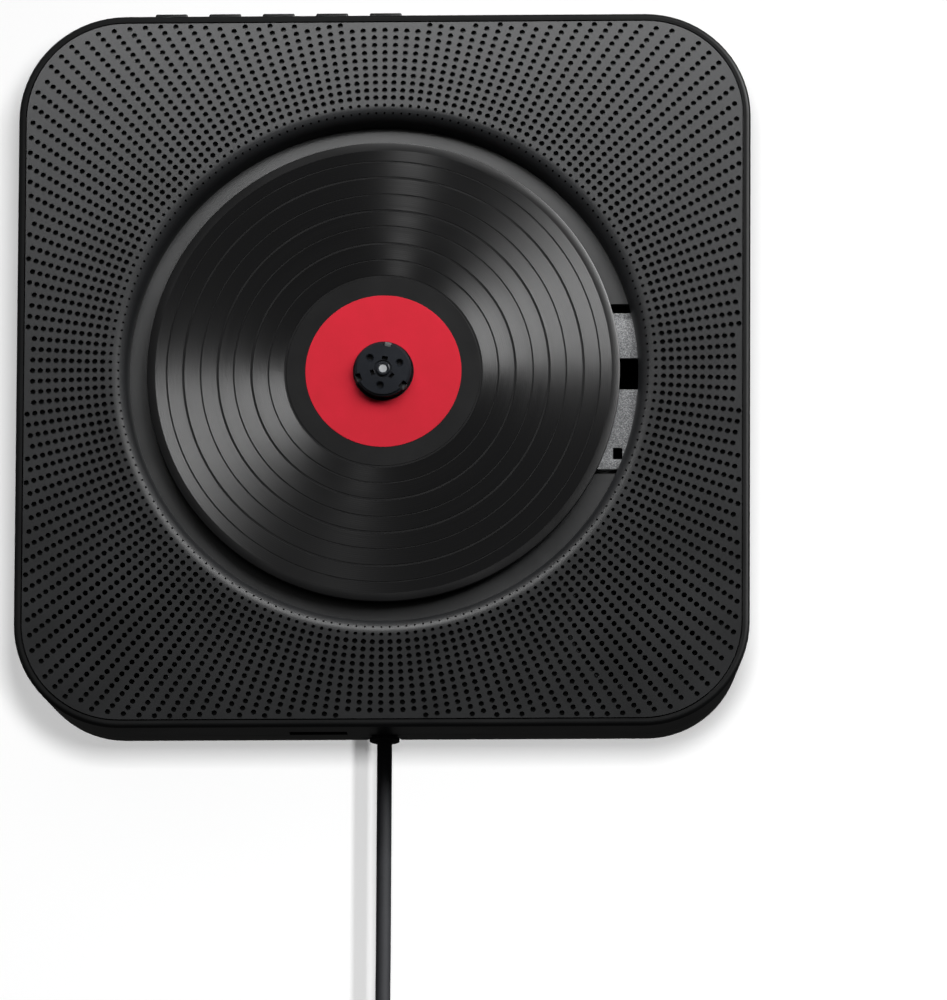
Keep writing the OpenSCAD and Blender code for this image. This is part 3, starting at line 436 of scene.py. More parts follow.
FINISHES: dict[str, Finish] = {
    "case_black": MouldedPlastic("Satin black ABS", "#0c0d0e", 0.40, ior=1.6, lighter="#131415"),
    "front_grey": MouldedPlastic("Graphite ABS front", "#151617", 0.46, lighter="#1b1c1e"),
    "steel": Metal("Zinc plated steel", "#a5a7a9", 0.36),
    "rubber_black": Rubber("Moulded rubber", "#161616", 0.75),
    "mechanism_black": MouldedPlastic(
        "Glass filled mechanism plastic", "#141516", 0.5, lighter="#1d1e20"),
    "plate_grey": SpeckledPaint("Hammered grey paint", "#646567", 0.45),
    "hub_black": MouldedPlastic(
        "Polished hub plastic", "#0c0e12", 0.24, lighter="#12151a", depth_mm=0.002),
    "disc_black": GroovedVinyl("Pressed black vinyl", "#0a0a0b", 0.42, ior=1.8),
    "disc_land": MouldedPlastic(
        "Smooth vinyl land", "#070708", 0.34, ior=1.6, lighter="#0a0a0b", depth_mm=0.001),
    "label_red": PrintedPaper("Red coated paper", "#980a1b", 0.8, lighter="#a21023"),
    "gear_white": Acetal("White acetal", "#d6d3c8", 0.38),
    "pinion_brass": Metal(
        "Turned brass", "#b8933f", 0.3, lighter="#d8b868", scratch=(1.0, 0.1, 1.0)),
    "lens_glass": LensGlass("Coated lens", "#dfe6ff", 0.03),
    "board_green": SolderMask("Green solder mask", "#17502c", 0.32),
    "plug_steel": Metal("Nickel plated plug shell", "#b9babb", 0.25, lighter="#d6d7d8"),
    "button_black": MouldedPlastic("Satin button ABS", "#0b0b0c", 0.5, lighter="#101112"),
    "cone_black": PulpCone("Black paper pulp", "#2a2928", 0.85),
    "lead_black": CableJacket("Black PVC jacket", "#212225", 0.7),
}


# The bench, on which each new piece is shaped


class Bench:
    """One mesh in work, shaped by Blender's operators."""

    def __init__(self, name: str) -> None:
        """Takes the primitive that was added last, and puts its place into its mesh."""
        self.piece: bpy.types.Object = bpy.context.object
        self.piece.name = name
        self.piece.data.name = name
        self.settle()

    @staticmethod
    def clear() -> None:
        """Leaves edit mode and deselects everything."""
        if bpy.context.object and bpy.context.object.mode != "OBJECT":
            bpy.ops.object.mode_set(mode="OBJECT")
        bpy.ops.object.select_all(action="DESELECT")

    @classmethod
    def block(cls, name: str, low: Vector, high: Vector) -> "Bench":
        """Starts from a cuboid.

        Args:
            name: the piece's name.
            low: one corner, in metres.
            high: the opposite corner.

        Returns:
            The bench with the cuboid on it.
        """
        cls.clear()
        size = Vector(abs(b - a) for a, b in zip(low, high))
        bpy.ops.mesh.primitive_cube_add(size=1, location=(low + high) / 2, scale=size)
        return cls(name)

    @classmethod
    def lathe(
        cls, name: str, profile: Sequence[tuple[float, float]], steps: int,
        turned: Turned = Turned.OFF_WALL, x: float = 0.0, other: float = 0.0,
    ) -> "Bench":
        """Draws a profile point by point and spins it.

        Args:
            name: the piece's name.
            profile: radius and height along the turned line, in millimetres.
            steps: how many steps the spin takes.
            turned: the line that the profile turns about.
            x: where that line is, to the right.
            other: where it is, upwards or off the wall.

        Returns:
            The bench with the turned piece on it.
        """
        if turned is Turned.OFF_WALL:
            places = [spot(x + r, other, h) for r, h in profile]
            axis, centre = (0, 1, 0), spot(x, other, 0)
        else:
            places = [spot(x + r, h, other) for r, h in profile]
            axis, centre = (0, 0, 1), spot(x, 0, other)
        cls.clear()
        bpy.ops.mesh.primitive_plane_add(size=MM, location=places[0])
        bpy.ops.object.mode_set(mode="EDIT")
        bpy.ops.mesh.select_mode(type=Part.CORNER.value)
        bpy.ops.mesh.select_all(action="SELECT")
        bpy.ops.mesh.merge(type="CENTER")
        for here, there in zip(places, places[1:]):
            bpy.ops.mesh.extrude_vertices_move(TRANSFORM_OT_translate={"value": there - here})
        bpy.ops.mesh.select_all(action="SELECT")
        bpy.ops.mesh.spin(steps=steps, angle=TURN, center=centre, axis=axis)
        bench = cls.__new__(cls)
        bench.piece = bpy.context.object
        bench.piece.name = name
        bench.piece.data.name = name
        bench.mend()
        bench.settle()
        return bench

    def hold(self) -> None:
        """Makes this piece the only one selected, and the active one."""
        self.clear()
        self.piece.select_set(True)
        bpy.context.view_layer.objects.active = self.piece

    def settle(self) -> None:
        """Puts the object at the origin with its place in its mesh."""
        self.hold()
        bpy.ops.object.transform_apply(location=True, rotation=True, scale=True)

    def mend(self) -> None:
        """Merges doubled points and turns every face outwards."""
        self.hold()
        bpy.ops.object.mode_set(mode="EDIT")
        bpy.ops.mesh.select_mode(type=Part.CORNER.value)
        bpy.ops.mesh.select_all(action="SELECT")
        bpy.ops.mesh.remove_doubles(threshold=1e-6)
        bpy.ops.mesh.normals_make_consistent(inside=False)
        bpy.ops.object.mode_set(mode="OBJECT")

    def pick(self, part: Part, test: Callable[[Vector, Vector], bool]) -> None:
        """Enters edit mode and selects what passes a test.

        Args:
            part: what is selected.
            test: takes a corner's place and normal, or an edge's middle and direction.
        """
        self.hold()
        bpy.ops.object.mode_set(mode="EDIT")
        bpy.ops.mesh.select_mode(type=part.value)
        bpy.ops.mesh.select_all(action="DESELECT")
        shape = bmesh.from_edit_mesh(self.piece.data)
        if part is Part.EDGE:
            for edge in shape.edges:
                a, b = edge.verts
                if test((a.co + b.co) / 2, (b.co - a.co).normalized()):
                    edge.select_set(True)
        else:
            for corner in shape.verts:
                if test(corner.co, corner.normal):
                    corner.select_set(True)
        bmesh.update_edit_mesh(self.piece.data)

    def bevel(self, test: Callable[[Vector, Vector], bool], width: float, segments: int) -> "Bench":
        """Rounds the edges that pass a test.

        Args:
            test: takes an edge's middle and direction.
            width: the rounding's width, in millimetres.
            segments: its number of faces.

        Returns:
            This bench.
        """
        self.pick(Part.EDGE, test)
        bpy.ops.mesh.bevel(offset=width * MM, segments=segments, affect="EDGES")
        bpy.ops.object.mode_set(mode="OBJECT")
        return self

    def soften(self, width: float, segments: int = 2) -> "Bench":
        """Rounds every sharp edge with a bevel modifier, applied.

        Args:
            width: the rounding's width, in millimetres.
            segments: its number of faces.

        Returns:
            This bench.
        """
        self.hold()
        bpy.ops.object.modifier_add(type="BEVEL")
        step = self.piece.modifiers[-1]
        step.width = width * MM
        step.segments = segments
        step.limit_method = "ANGLE"
        step.angle_limit = SHARP
        step.use_clamp_overlap = True
        bpy.ops.object.modifier_apply(modifier=step.name)
        return self

    def combine(self, tool: "Bench", solid: Solid) -> "Bench":
        """Cuts this piece with another, joins them or keeps what they share, and uses up the tool.

        Args:
            tool: the other piece.
            solid: which of the three.

        Returns:
            This bench.
        """
        self.hold()
        bpy.ops.object.modifier_add(type="BOOLEAN")
        step = self.piece.modifiers[-1]
        step.operation = solid.value
        step.object = tool.piece
        step.solver = "MANIFOLD"
        bpy.ops.object.modifier_apply(modifier=step.name)
        bpy.data.objects.remove(tool.piece)
        return self

    def carve(self, low: Vector, high: Vector, degrees: float = 0.0) -> None:
        """Cuts a cuboid out of this piece.

        Args:
            low: one corner, in metres.
            high: the opposite corner.
            degrees: how far the cuboid is turned about the spindle first.
        """
        tool = Bench.block("Cutter", low, high)
        self.combine(tool.turn(degrees) if degrees else tool, Solid.CUT)

    def drill(self, centre: Vector, radius: float, length: float, sides: int) -> None:
        """Cuts a round hole that runs off the wall.

        Args:
            centre: the drill's middle, in metres.
            radius: its radius, in millimetres.
            length: its length, in millimetres.
            sides: how many sides stand for the round.
        """
        self.clear()
        bpy.ops.mesh.primitive_cylinder_add(
            vertices=sides, radius=radius * MM, depth=length * MM, location=centre,
            rotation=OFF_THE_WALL)
        self.combine(Bench("Drill"), Solid.CUT)

    def turn(self, degrees: float, x: float = 0.0, up: float = 0.0) -> "Bench":
        """Turns the piece counterclockwise, seen from the front.

        Args:
            degrees: how far.
            x: the middle of the turn, to the right, in millimetres.
            up: the middle of the turn, upwards.

        Returns:
            This bench.
        """
        self.pick(Part.CORNER, lambda place, _: True)
        bpy.ops.transform.rotate(
            value=math.radians(degrees), orient_axis="Y", center_override=spot(x, up, 0))
        bpy.ops.object.mode_set(mode="OBJECT")
        return self

    def copy(self, name: str, x: float) -> "Bench":
        """Makes a moved copy with its own mesh.

        Args:
            name: the copy's name.
            x: how far it moves to the right, in millimetres.

        Returns:
            The bench with the copy on it.
        """
        self.hold()
        bpy.ops.object.duplicate(linked=False)
        bpy.ops.transform.translate(value=spot(x, 0, 0))
        return Bench(name)

    def dress(
        self, slot: str, body: str, replaces: Sequence[str] = (), smooth: float = SHARP,
    ) -> bpy.types.Object:
        """Ends the work: shading, finish, body and the nodes that the piece stands for.

        Args:
            slot: the record's material slot.
            body: the CAD body that the piece rides on.
            replaces: the CAD nodes that it replaces.
            smooth: faces that meet under a smaller angle are shaded smooth.

        Returns:
            The finished object.
        """
        self.settle()
        bpy.ops.object.shade_smooth_by_angle(angle=smooth)
        self.piece.data.materials.clear()
        self.piece.data.materials.append(FINISHES[slot].material())
        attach(self.piece, body)
        if replaces:
            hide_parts(*replaces)
        faces = len(self.piece.data.polygons)
        LOG.info("%s: %d faces, rides on %s", self.piece.name, faces, body)
        return self.piece


def ellipse(
    r: float, h: float, across: float, along: float, start: float, end: float, steps: int,
) -> list[tuple[float, float]]:
    """Points on an elliptic arc for a lathe profile.

    Args:
        r: the centre's radius.
        h: the centre's height.
        across: half-axis along the radius.
        along: half-axis along the height.
        start: first angle, in degrees.
        end: last angle.
        steps: number of stretches.

    Returns:
        The points, in millimetres.
    """
    turns = [math.radians(start + (end - start) * i / steps) for i in range(steps + 1)]
    return [(r + across * math.cos(t), h + along * math.sin(t)) for t in turns]


# Camera, lamps and wall


@dataclass(frozen=True)
class Lamp:
    """One soft lamp, and which pieces it lights and is shaded by when that isn't all of them."""

    name: str
    place: tuple[float, float, float]
    size: tuple[float, float]
    power: float
    only: tuple[str, ...] = ()
    spares: tuple[str, ...] = ()
    shaded_by: tuple[str, ...] = ()
    aim: tuple[float, float, float] = (0.0, -0.02, 0.0)

    def hang(self) -> None:
        """Hangs the lamp and links it to its pieces."""
        light = bpy.data.lights.new(self.name, "AREA")
        light.shape = "RECTANGLE"
        light.size, light.size_y = self.size
        light.energy = self.power
        lamp = bpy.data.objects.new(self.name, light)
        bpy.context.scene.collection.objects.link(lamp)
        lamp.location = self.place
        lamp.rotation_mode = "QUATERNION"
        lamp.rotation_quaternion = (Vector(self.aim) - Vector(self.place)).to_track_quat("-Z", "Y")
        lamp.visible_camera = False
        if self.only or self.spares:
            lit = bpy.data.collections.new(f"{self.name} pieces")
            for name in self.only or self.spares:
                lit.objects.link(bpy.data.objects[name])
            lamp.light_linking.receiver_collection = lit
            for member in lit.collection_objects:
                member.light_linking.link_state = "INCLUDE" if self.only else "EXCLUDE"
        if self.shaded_by:
            shade = bpy.data.collections.new(f"{self.name} shade")
            for name in self.shaded_by:
                shade.objects.link(bpy.data.objects[name])
            lamp.light_linking.blocker_collection = shade
        LOG.info("%s: %.2f W", self.name, self.power)


@dataclass
class Studio:
    """The camera at the photograph's angle, the lamps, and a white wall that runs into a floor."""

    azimuth: float = 2.4
    elevation: float = -14.0
    roll: float = 0.3
    distance: float = 5.0
    frame_px: tuple[int, int] = (947, 1000)
    px_per_mm: float = 3.949
    front_px: tuple[float, float] = (382.25, 369.25)
    front_off: float = 38.0
    sensor_mm: float = 36.0
    sheet: str = "Wall_and_floor"
    sheet_size: tuple[float, float] = (7.0, 3.4)
    sheet_middle: tuple[float, float, float] = (0.0, 0.0004, 0.6)
    floor_reach: float = 6.0
    floor_bend: float = 350.0
    dim: float = 0.03
    bright: float = 0.2
    wall_white: float = 0.8
    wall_lift: float = 0.17
    wall_mirrored: float = 0.03

    def camera(self) -> None:
        """Places the camera so that the middle of the front lands where the photograph has it."""
        a, e = math.radians(self.azimuth), math.radians(self.elevation)
        back = Vector((math.sin(a) * math.cos(e), -math.cos(a) * math.cos(e), math.sin(e)))
        right = Vector((math.cos(a), math.sin(a), 0))
        up = back.cross(right)
        shift_x = (self.frame_px[0] / 2 - self.front_px[0]) / self.px_per_mm * MM
        shift_y = (self.frame_px[1] / 2 - self.front_px[1]) / self.px_per_mm * MM
        aim = spot(0, 0, self.front_off) + right * shift_x - up * shift_y
        eye = bpy.data.objects.new("Camera", bpy.data.cameras.new("Camera"))
        bpy.context.scene.collection.objects.link(eye)
        eye.location = aim + back * self.distance
        eye.rotation_mode = "QUATERNION"
        level = (-back).to_track_quat("-Z", "Y")
        eye.rotation_quaternion = Quaternion(back, math.radians(self.roll)) @ level
        eye.data.type = "PERSP"
        eye.data.sensor_width = self.sensor_mm
        eye.data.lens = self.sensor_mm * self.distance / (self.frame_px[1] / self.px_per_mm * MM)
        eye.data.clip_end = 50
        bpy.context.scene.camera = eye
        LOG.info("camera at %s", tuple(round(c, 3) for c in eye.location))

    def lamps(self) -> None:
        """Hangs the lamps, each a soft rectangle aimed at the middle of the case."""
        side, wide, case = (0.75, -0.80, 0.60), (0.85, 0.60), ("rear_cover", "front_housing")
        buttons = tuple(f"Button_{i + 1}" for i in range(5))
        for lamp in (
            Lamp("Top softbox", (0.01, -0.20, 0.20), (0.32, 0.12), 1.15,
                 spares=(self.sheet, "Disc", *case, *buttons)),
            Lamp("Side softbox", side, wide, 21.0, spares=(self.sheet, "Perforated_front", *case)),
            Lamp("Front fill", side, wide, 5.0, only=("Perforated_front",)),
            Lamp("Case fill", side, wide, 9.0, only=case),
            Lamp("Disc strip", (0.01, -0.12, 0.16), (0.02, 0.02), 0.025, only=("Disc",)),
            Lamp("Back softbox", (-0.30, 0.90, 0.70), (0.80, 0.50), 14.0, spares=(self.sheet,)),
            Lamp("Wall wash", (0.12, -1.4, -0.134), (0.22, 0.22), 11.6, only=(self.sheet,)),
            Lamp("Wall side wash", (0.52, -1.3, -0.134), (0.10, 0.20), 8.8,
                 only=(self.sheet,), shaded_by=("Cord",)),
        ):
            lamp.hang()

    def world(self) -> None:
        """Fills the room with a plain light that is brighter above than below."""
        world = bpy.data.worlds.new("Studio")
        bpy.context.scene.world = world
        tree = empty_nodes(world)
        way = add(tree, "SeparateXYZ", inputs={0: add(tree, "TexCoord").outputs["Generated"]})
        ramp = add(tree, "ValToRGB", inputs={"Fac": add(tree, "MapRange", inputs={
            "Value": way.outputs["Z"], "From Min": -1.0, "From Max": 1.0}).outputs[0]})
        low, high = ramp.color_ramp.elements
        low.position, low.color = 0.4, (self.dim, self.dim, self.dim, 1)
        high.position, high.color = 0.9, (self.bright, self.bright, self.bright, 1)
        light = add(tree, "Background", inputs={"Color": ramp.outputs["Color"], "Strength": 1.0})
        add(tree, "OutputWorld", inputs={"Surface": light.outputs[0]})

    def wall(self) -> None:
        """Builds the wall and floor as one white sheet with a wide bend, unseen from behind."""
        Bench.clear()
        bpy.ops.mesh.primitive_plane_add(size=1, location=self.sheet_middle, rotation=OFF_THE_WALL)
        bench = Bench(self.sheet)
        bench.pick(Part.CORNER, lambda place, _: True)
        bpy.ops.transform.resize(
            value=(self.sheet_size[0], 1, self.sheet_size[1]), center_override=self.sheet_middle)
        bpy.ops.object.mode_set(mode="OBJECT")
        bench.pick(Part.EDGE, lambda place, way: place.z < -1 and abs(way.x) > STRAIGHT)
        bpy.ops.mesh.extrude_region_move(
            TRANSFORM_OT_translate={"value": (0, -self.floor_reach, 0)})
        bpy.ops.object.mode_set(mode="OBJECT")
        bench.bevel(
            lambda place, way: abs(place.y) < 0.01 and place.z < -1 and abs(way.x) > STRAIGHT,
            self.floor_bend, 12)
        bench.settle()
        bpy.ops.object.shade_smooth()
        bench.piece.data.materials.append(self.wall_paint())

    def wall_paint(self) -> bpy.types.Material:
        """White wall paint for the camera, which keeps the object's shadow.

        Reflections in the object see the wall nearly black, and all other light goes through it.

        Returns:
            The material.
        """
        material = bpy.data.materials.new("White wall")
        tree = empty_nodes(material)
        ray = add(tree, "LightPath").outputs
        seen, mirror = ray["Is Camera Ray"], ray["Is Glossy Ray"]
        white = add(tree, "Math", {"operation": "MULTIPLY"}, {0: seen, 1: self.wall_white})
        mirrored = add(tree, "Math", {"operation": "MULTIPLY"}, {0: mirror, 1: self.wall_mirrored})
        lift = add(tree, "Math", {"operation": "MULTIPLY_ADD"}, {
            0: seen, 1: self.wall_lift, 2: mirrored.outputs[0]})
        paint = add(tree, "BsdfDiffuse", inputs={"Color": white.outputs[0]})
        glow = add(tree, "Emission", inputs={"Color": (1, 1, 1, 1), "Strength": lift.outputs[0]})
        front = add(tree, "AddShader", inputs={0: paint.outputs[0], 1: glow.outputs[0]})
        clear = add(tree, "BsdfTransparent")
        met = add(tree, "Math", {"operation": "MAXIMUM"}, {0: seen, 1: mirror})
        unmet = add(tree, "Math", {"operation": "SUBTRACT"}, {0: 1.0, 1: met.outputs[0]})
        side = add(tree, "NewGeometry").outputs["Backfacing"]
        through = add(tree, "Math", {"operation": "MAXIMUM"}, {0: side, 1: unmet.outputs[0]})
        both = add(tree, "MixShader", inputs={
            0: through.outputs[0], 1: front.outputs[0], 2: clear.outputs[0]})
        add(tree, "OutputMaterial", inputs={"Surface": both.outputs[0]})
        return material


# The cord, its coil, tie and plug


@dataclass
class PullCord:
    """The cord from the switch down to its plug, with the spare length wound into a coil."""

    diameter: float = 3.8
    off: float = 16.0
    top: float = -81.5
    route: tuple[tuple[float, float, float], ...] = (
        (0, -90, 16), (0, -102, 16), (0, -114, 16), (0, -126, 16), (0, -138, 16), (0, -148, 16),
        (0, -160, 16), (0.7, -166.4, 16), (2.9, -172.5, 16), (6.4, -178, 16), (9.9, -183.5, 16),
        (12.1, -189.6, 16), (12.8, -196.2, 16),
    )
    tail: tuple[tuple[float, float, float], ...] = (
        (12.8, -203.8, 2.8), (12.8, -210, 3.2), (12.8, -219, 5.2), (12.8, -226, 6), (12.8, -232, 6),
    )
    coil_middle: tuple[float, float] = (-14.0, -200.0)
    coil_radius: float = 26.8
    coil_step: float = 4.4
    coil_turns: int = 9
    coil_layers: int = 4
    plug_middle: float = 12.8
    plug_off: float = 6.0
    plug_top: float = -232.0
    length: float = 1.388

    def coil(self, points_per_turn: int = 60) -> list[Vector]:
        """Works out the coil, which goes in and out layer by layer towards the wall.

        Args:
            points_per_turn: how finely it is drawn.

        Returns:
            Its points, in metres.
        """
        layer = self.coil_turns / self.coil_layers
        points = []
        for i in range(self.coil_turns * points_per_turn + 1):
            t = i / points_per_turn
            u = t % (2 * layer)
            r = self.coil_radius - self.coil_step * min(u, 2 * layer - u)
            climb = sum(
                min(1, max(0, (t - k * layer + 0.25) / 0.5)) for k in range(1, self.coil_layers))
            a = -TURN * t
            points.append(spot(
                self.coil_middle[0] + r * math.cos(a), self.coil_middle[1] + r * math.sin(a),
                self.off - self.coil_step * climb))
        return points

    @staticmethod
    def smooth(points: Sequence[Vector], steps: int) -> list[Vector]:
        """Draws a smooth line through given points.

        Args:
            points: the points.
            steps: how many stretches lie between two of them.

        Returns:
            The finer line, with every given point on it.
        """
        line = []
        for i in range(len(points) - 1):
            a, b, c, d = (points[max(0, min(len(points) - 1, i + k))] for k in (-1, 0, 1, 2))
            for j in range(steps):
                t = j / steps
                line.append(0.5 * (2 * b + (c - a) * t + (2 * a - 5 * b + 4 * c - d) * t * t
                                   + (3 * b - a - 3 * c + d) * t ** 3))
        return line + [points[-1]]

    def line(self) -> list[Vector]:
        """The whole centreline, in metres."""
        coil = self.coil()
        first = [spot(0, self.top, self.off)] + [spot(*p) for p in self.route]
        last = [coil[-1]] + [spot(*p) for p in self.tail]
        return self.smooth(first + [coil[0]], 5)[:-1] + coil + self.smooth(last, 5)[1:]

    def build(self) -> None:
        centreline = self.line()
        curve = bpy.data.curves.new("Cord", "CURVE")
        curve.dimensions = "3D"
        curve.bevel_depth = self.diameter / 2 * MM
        curve.bevel_resolution = 4
        curve.use_fill_caps = True
        spline = curve.splines.new("POLY")
        spline.points.add(len(centreline) - 1)
        for point, place in zip(spline.points, centreline):
            point.co = (*place, 1)
        spline.use_smooth = True
        cord = bpy.data.objects.new("Cord", curve)
        bpy.context.scene.collection.objects.link(cord)
        curve.materials.append(FINISHES["lead_black"].material())
        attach(cord, "pull_cord")
        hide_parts("cord", "cord_coil", "cord_tail")
        tie = self.tie()
        body, shell, collar = self.plug()
        drawn = sum((b - a).length for a, b in zip(centreline, centreline[1:]))
        LOG.info("cord: %.3f m", drawn)

    def tie(self) -> bpy.types.Object:
        """The strap round the coil.

        Returns:
            The finished strap.
        """
        layer, cord, thick = self.coil_turns / self.coil_layers, self.diameter / 2, 0.6
        low = self.off - (self.coil_layers - 1) * self.coil_step - cord - 0.25
        high = self.off + cord + 0.25
        inner = self.coil_radius - layer * self.coil_step - cord - 0.5
        outer = self.coil_radius + cord + 0.5
        x, up = self.coil_middle
        strap = Bench.block("Coil_tie", spot(x + inner - thick, up - 2, low - thick),
                            spot(x + outer + thick, up + 2, high + thick))
        strap.bevel(upright, 1.6, 5)
        hole = Bench.block(
            "Coil_tie_hole", spot(x + inner, up - 3, low), spot(x + outer, up + 3, high))
        hole.bevel(upright, 1.1, 5)
        strap.combine(hole, Solid.CUT)
        strap.soften(0.12)
        strap.turn(-120, x, up)
        return strap.dress("rubber_black", "pull_cord", ["cord_tie"])

    def plug(self) -> tuple[bpy.types.Object, bpy.types.Object, bpy.types.Object]:
        """The moulded plug, its plated shell and its ribbed strain relief.

        Returns:
            The three finished pieces.
        """
        x, off, top = self.plug_middle, self.plug_off, self.plug_top
        end, tip = top - 20, top - 32
        body = Bench.block("Plug_body", spot(x - 7.5, end, off - 4), spot(x + 7.5, top, off + 4))
        body.bevel(upright, 2.4, 6)
        body.bevel(lambda place, _: place.z > (top - 0.3) * MM, 2.0, 5)
        body.bevel(lambda place, _: place.z < (end + 0.3) * MM, 0.8, 3)
        for side in (-1, 1):
            for k in range(4):
                rib = top - 7 - 2.6 * k
                body.carve(spot(x + side * 7.5, rib, off - 2.6),
                           spot(x + side * 6.9, rib - 1.4, off + 2.6))
        moulding = body.dress("rubber_black", "pull_cord", ["plug_body"])
        shell = Bench.block(
            "Plug_shell", spot(x - 6, tip, off - 2.25), spot(x + 6, end, off + 2.25))
        shell.bevel(upright, 0.5, 3)
        shell.carve(spot(x - 5.6, tip - 1, off), spot(x + 5.6, tip + 9, off + 1.85))
        for side in (-1, 1):
            window = x + side * 2.6
            shell.carve(
                spot(window - 1.2, tip + 5, off + 1), spot(window + 1.2, tip + 7.2, off + 3))
        shell.soften(0.08)
        plated = shell.dress("plug_steel", "pull_cord", ["plug_shell"])
        sleeve = Bench.lathe("Plug_strain_relief", [
            (1.95, top - 0.6), (4.0, top - 0.6), (3.9, top + 0.6), (3.1, top + 0.6),
            (3.1, top + 1.6), (3.6, top + 1.6), (3.5, top + 2.8), (2.8, top + 2.8),
            (2.8, top + 3.8), (3.2, top + 3.8), (3.1, top + 5.0), (2.4, top + 5.2),
            (2.3, top + 6.4), (1.95, top + 6.4), (1.95, top - 0.6),
        ], 40, Turned.UPRIGHT, x, off)
        collar = sleeve.dress("rubber_black", "pull_cord")
        return moulding, plated, collar


# The front


@dataclass
class PerforatedFront:
    """The front panel with its rounded lip and its radial lines of holes."""

    width: float = 181.9
    corner: float = 24.95
    face: float = 38.0
    thickness: float = 1.4
    floor: float = 32.3
    well_radius: float = 64.5
    lip: float = 4.4
    lines: int = 200
    first_ring: float = 67.2
    ring_pitch: float = 1.972
    rings: int = 30
    hole: float = 1.4
    lip_holes: tuple[float, float] = (0.55, 0.95)
    reach: float = 90.2
    corner_margin: float = 1.3

    def holds_hole(self, ring: int, line: int) -> bool:
        """Says whether a crossing of ring and line gets a hole.

        Args:
            ring: the ring's number from the well outwards.
            line: the line's number from the right, counterclockwise.

        Returns:
            True if the hole's centre lies well inside the panel's outline.
        """
        r, a = self.first_ring + ring * self.ring_pitch, TURN * line / self.lines
        x, up = abs(r * math.cos(a)), abs(r * math.sin(a))
        if max(x, up) > self.reach:
            return False
        middle = self.width / 2 - self.corner
        if x > middle and up > middle:
            return math.hypot(x - middle, up - middle) < self.corner - self.corner_margin
        return True

    def pins(self) -> Bench:
        """Builds one line of pins, spins it round and deletes the pins that miss the panel.

        Returns:
            The bench with all the pins on it.
        """
        Bench.clear()
        for ring in range(self.rings):
            size = self.lip_holes[ring] if ring < len(self.lip_holes) else self.hole
            bpy.ops.mesh.primitive_cylinder_add(
                vertices=10, radius=size / 2 * MM, depth=6 * MM, rotation=OFF_THE_WALL,
                location=spot(self.first_ring + ring * self.ring_pitch, 0, self.face - 0.5))
            if ring == 0:
                bpy.ops.object.mode_set(mode="EDIT")
        bpy.ops.mesh.select_mode(type=Part.CORNER.value)
        bpy.ops.mesh.select_all(action="SELECT")
        steps = self.lines - 1
        bpy.ops.mesh.spin(steps=steps, dupli=True, angle=TURN * steps / self.lines,
                          center=(0, 0, 0), axis=(0, 1, 0))
        bpy.ops.object.mode_set(mode="OBJECT")
        bench = Bench("Pins")

        def misses(place: Vector, _: Vector) -> bool:
            """Says whether a pin's corner belongs to a crossing without a hole."""
            r = math.hypot(place.x, place.z) / MM
            ring = round((r - self.first_ring) / self.ring_pitch)
            line = round(math.atan2(place.z, place.x) / TURN * self.lines)
            return not self.holds_hole(ring, line)

        bench.pick(Part.CORNER, misses)
        bpy.ops.mesh.delete(type="VERT")
        bpy.ops.object.mode_set(mode="OBJECT")
        return bench

    def build(self) -> None:
        """Turns the lip and panel as one, trims them to the outline and drills the holes."""
        back = self.face - self.thickness
        lip_radius = self.well_radius + self.lip
        depth = self.face - self.floor
        inner = self.lip - self.thickness
        profile = ellipse(lip_radius, self.floor, self.lip, depth, 180, 90, 14)
        profile += [(135, self.face), (135, back)]
        profile += ellipse(lip_radius, self.floor, inner, depth - self.thickness, 90, 180, 10)
        profile.append(profile[0])
        panel = Bench.lathe("Perforated_front", profile, self.lines)
        half = self.width / 2
        outline = Bench.block(
            "Outline", spot(-half, -half, self.floor - 3), spot(half, half, self.face + 3))
        outline.bevel(lambda _, way: abs(way.y) > STRAIGHT, self.corner, 20)
        panel.combine(outline, Solid.KEEP)
        panel.combine(self.pins(), Solid.CUT)
        panel.dress("front_grey", "case", ["front_grille"], smooth=math.radians(25))


# The disc and what holds it


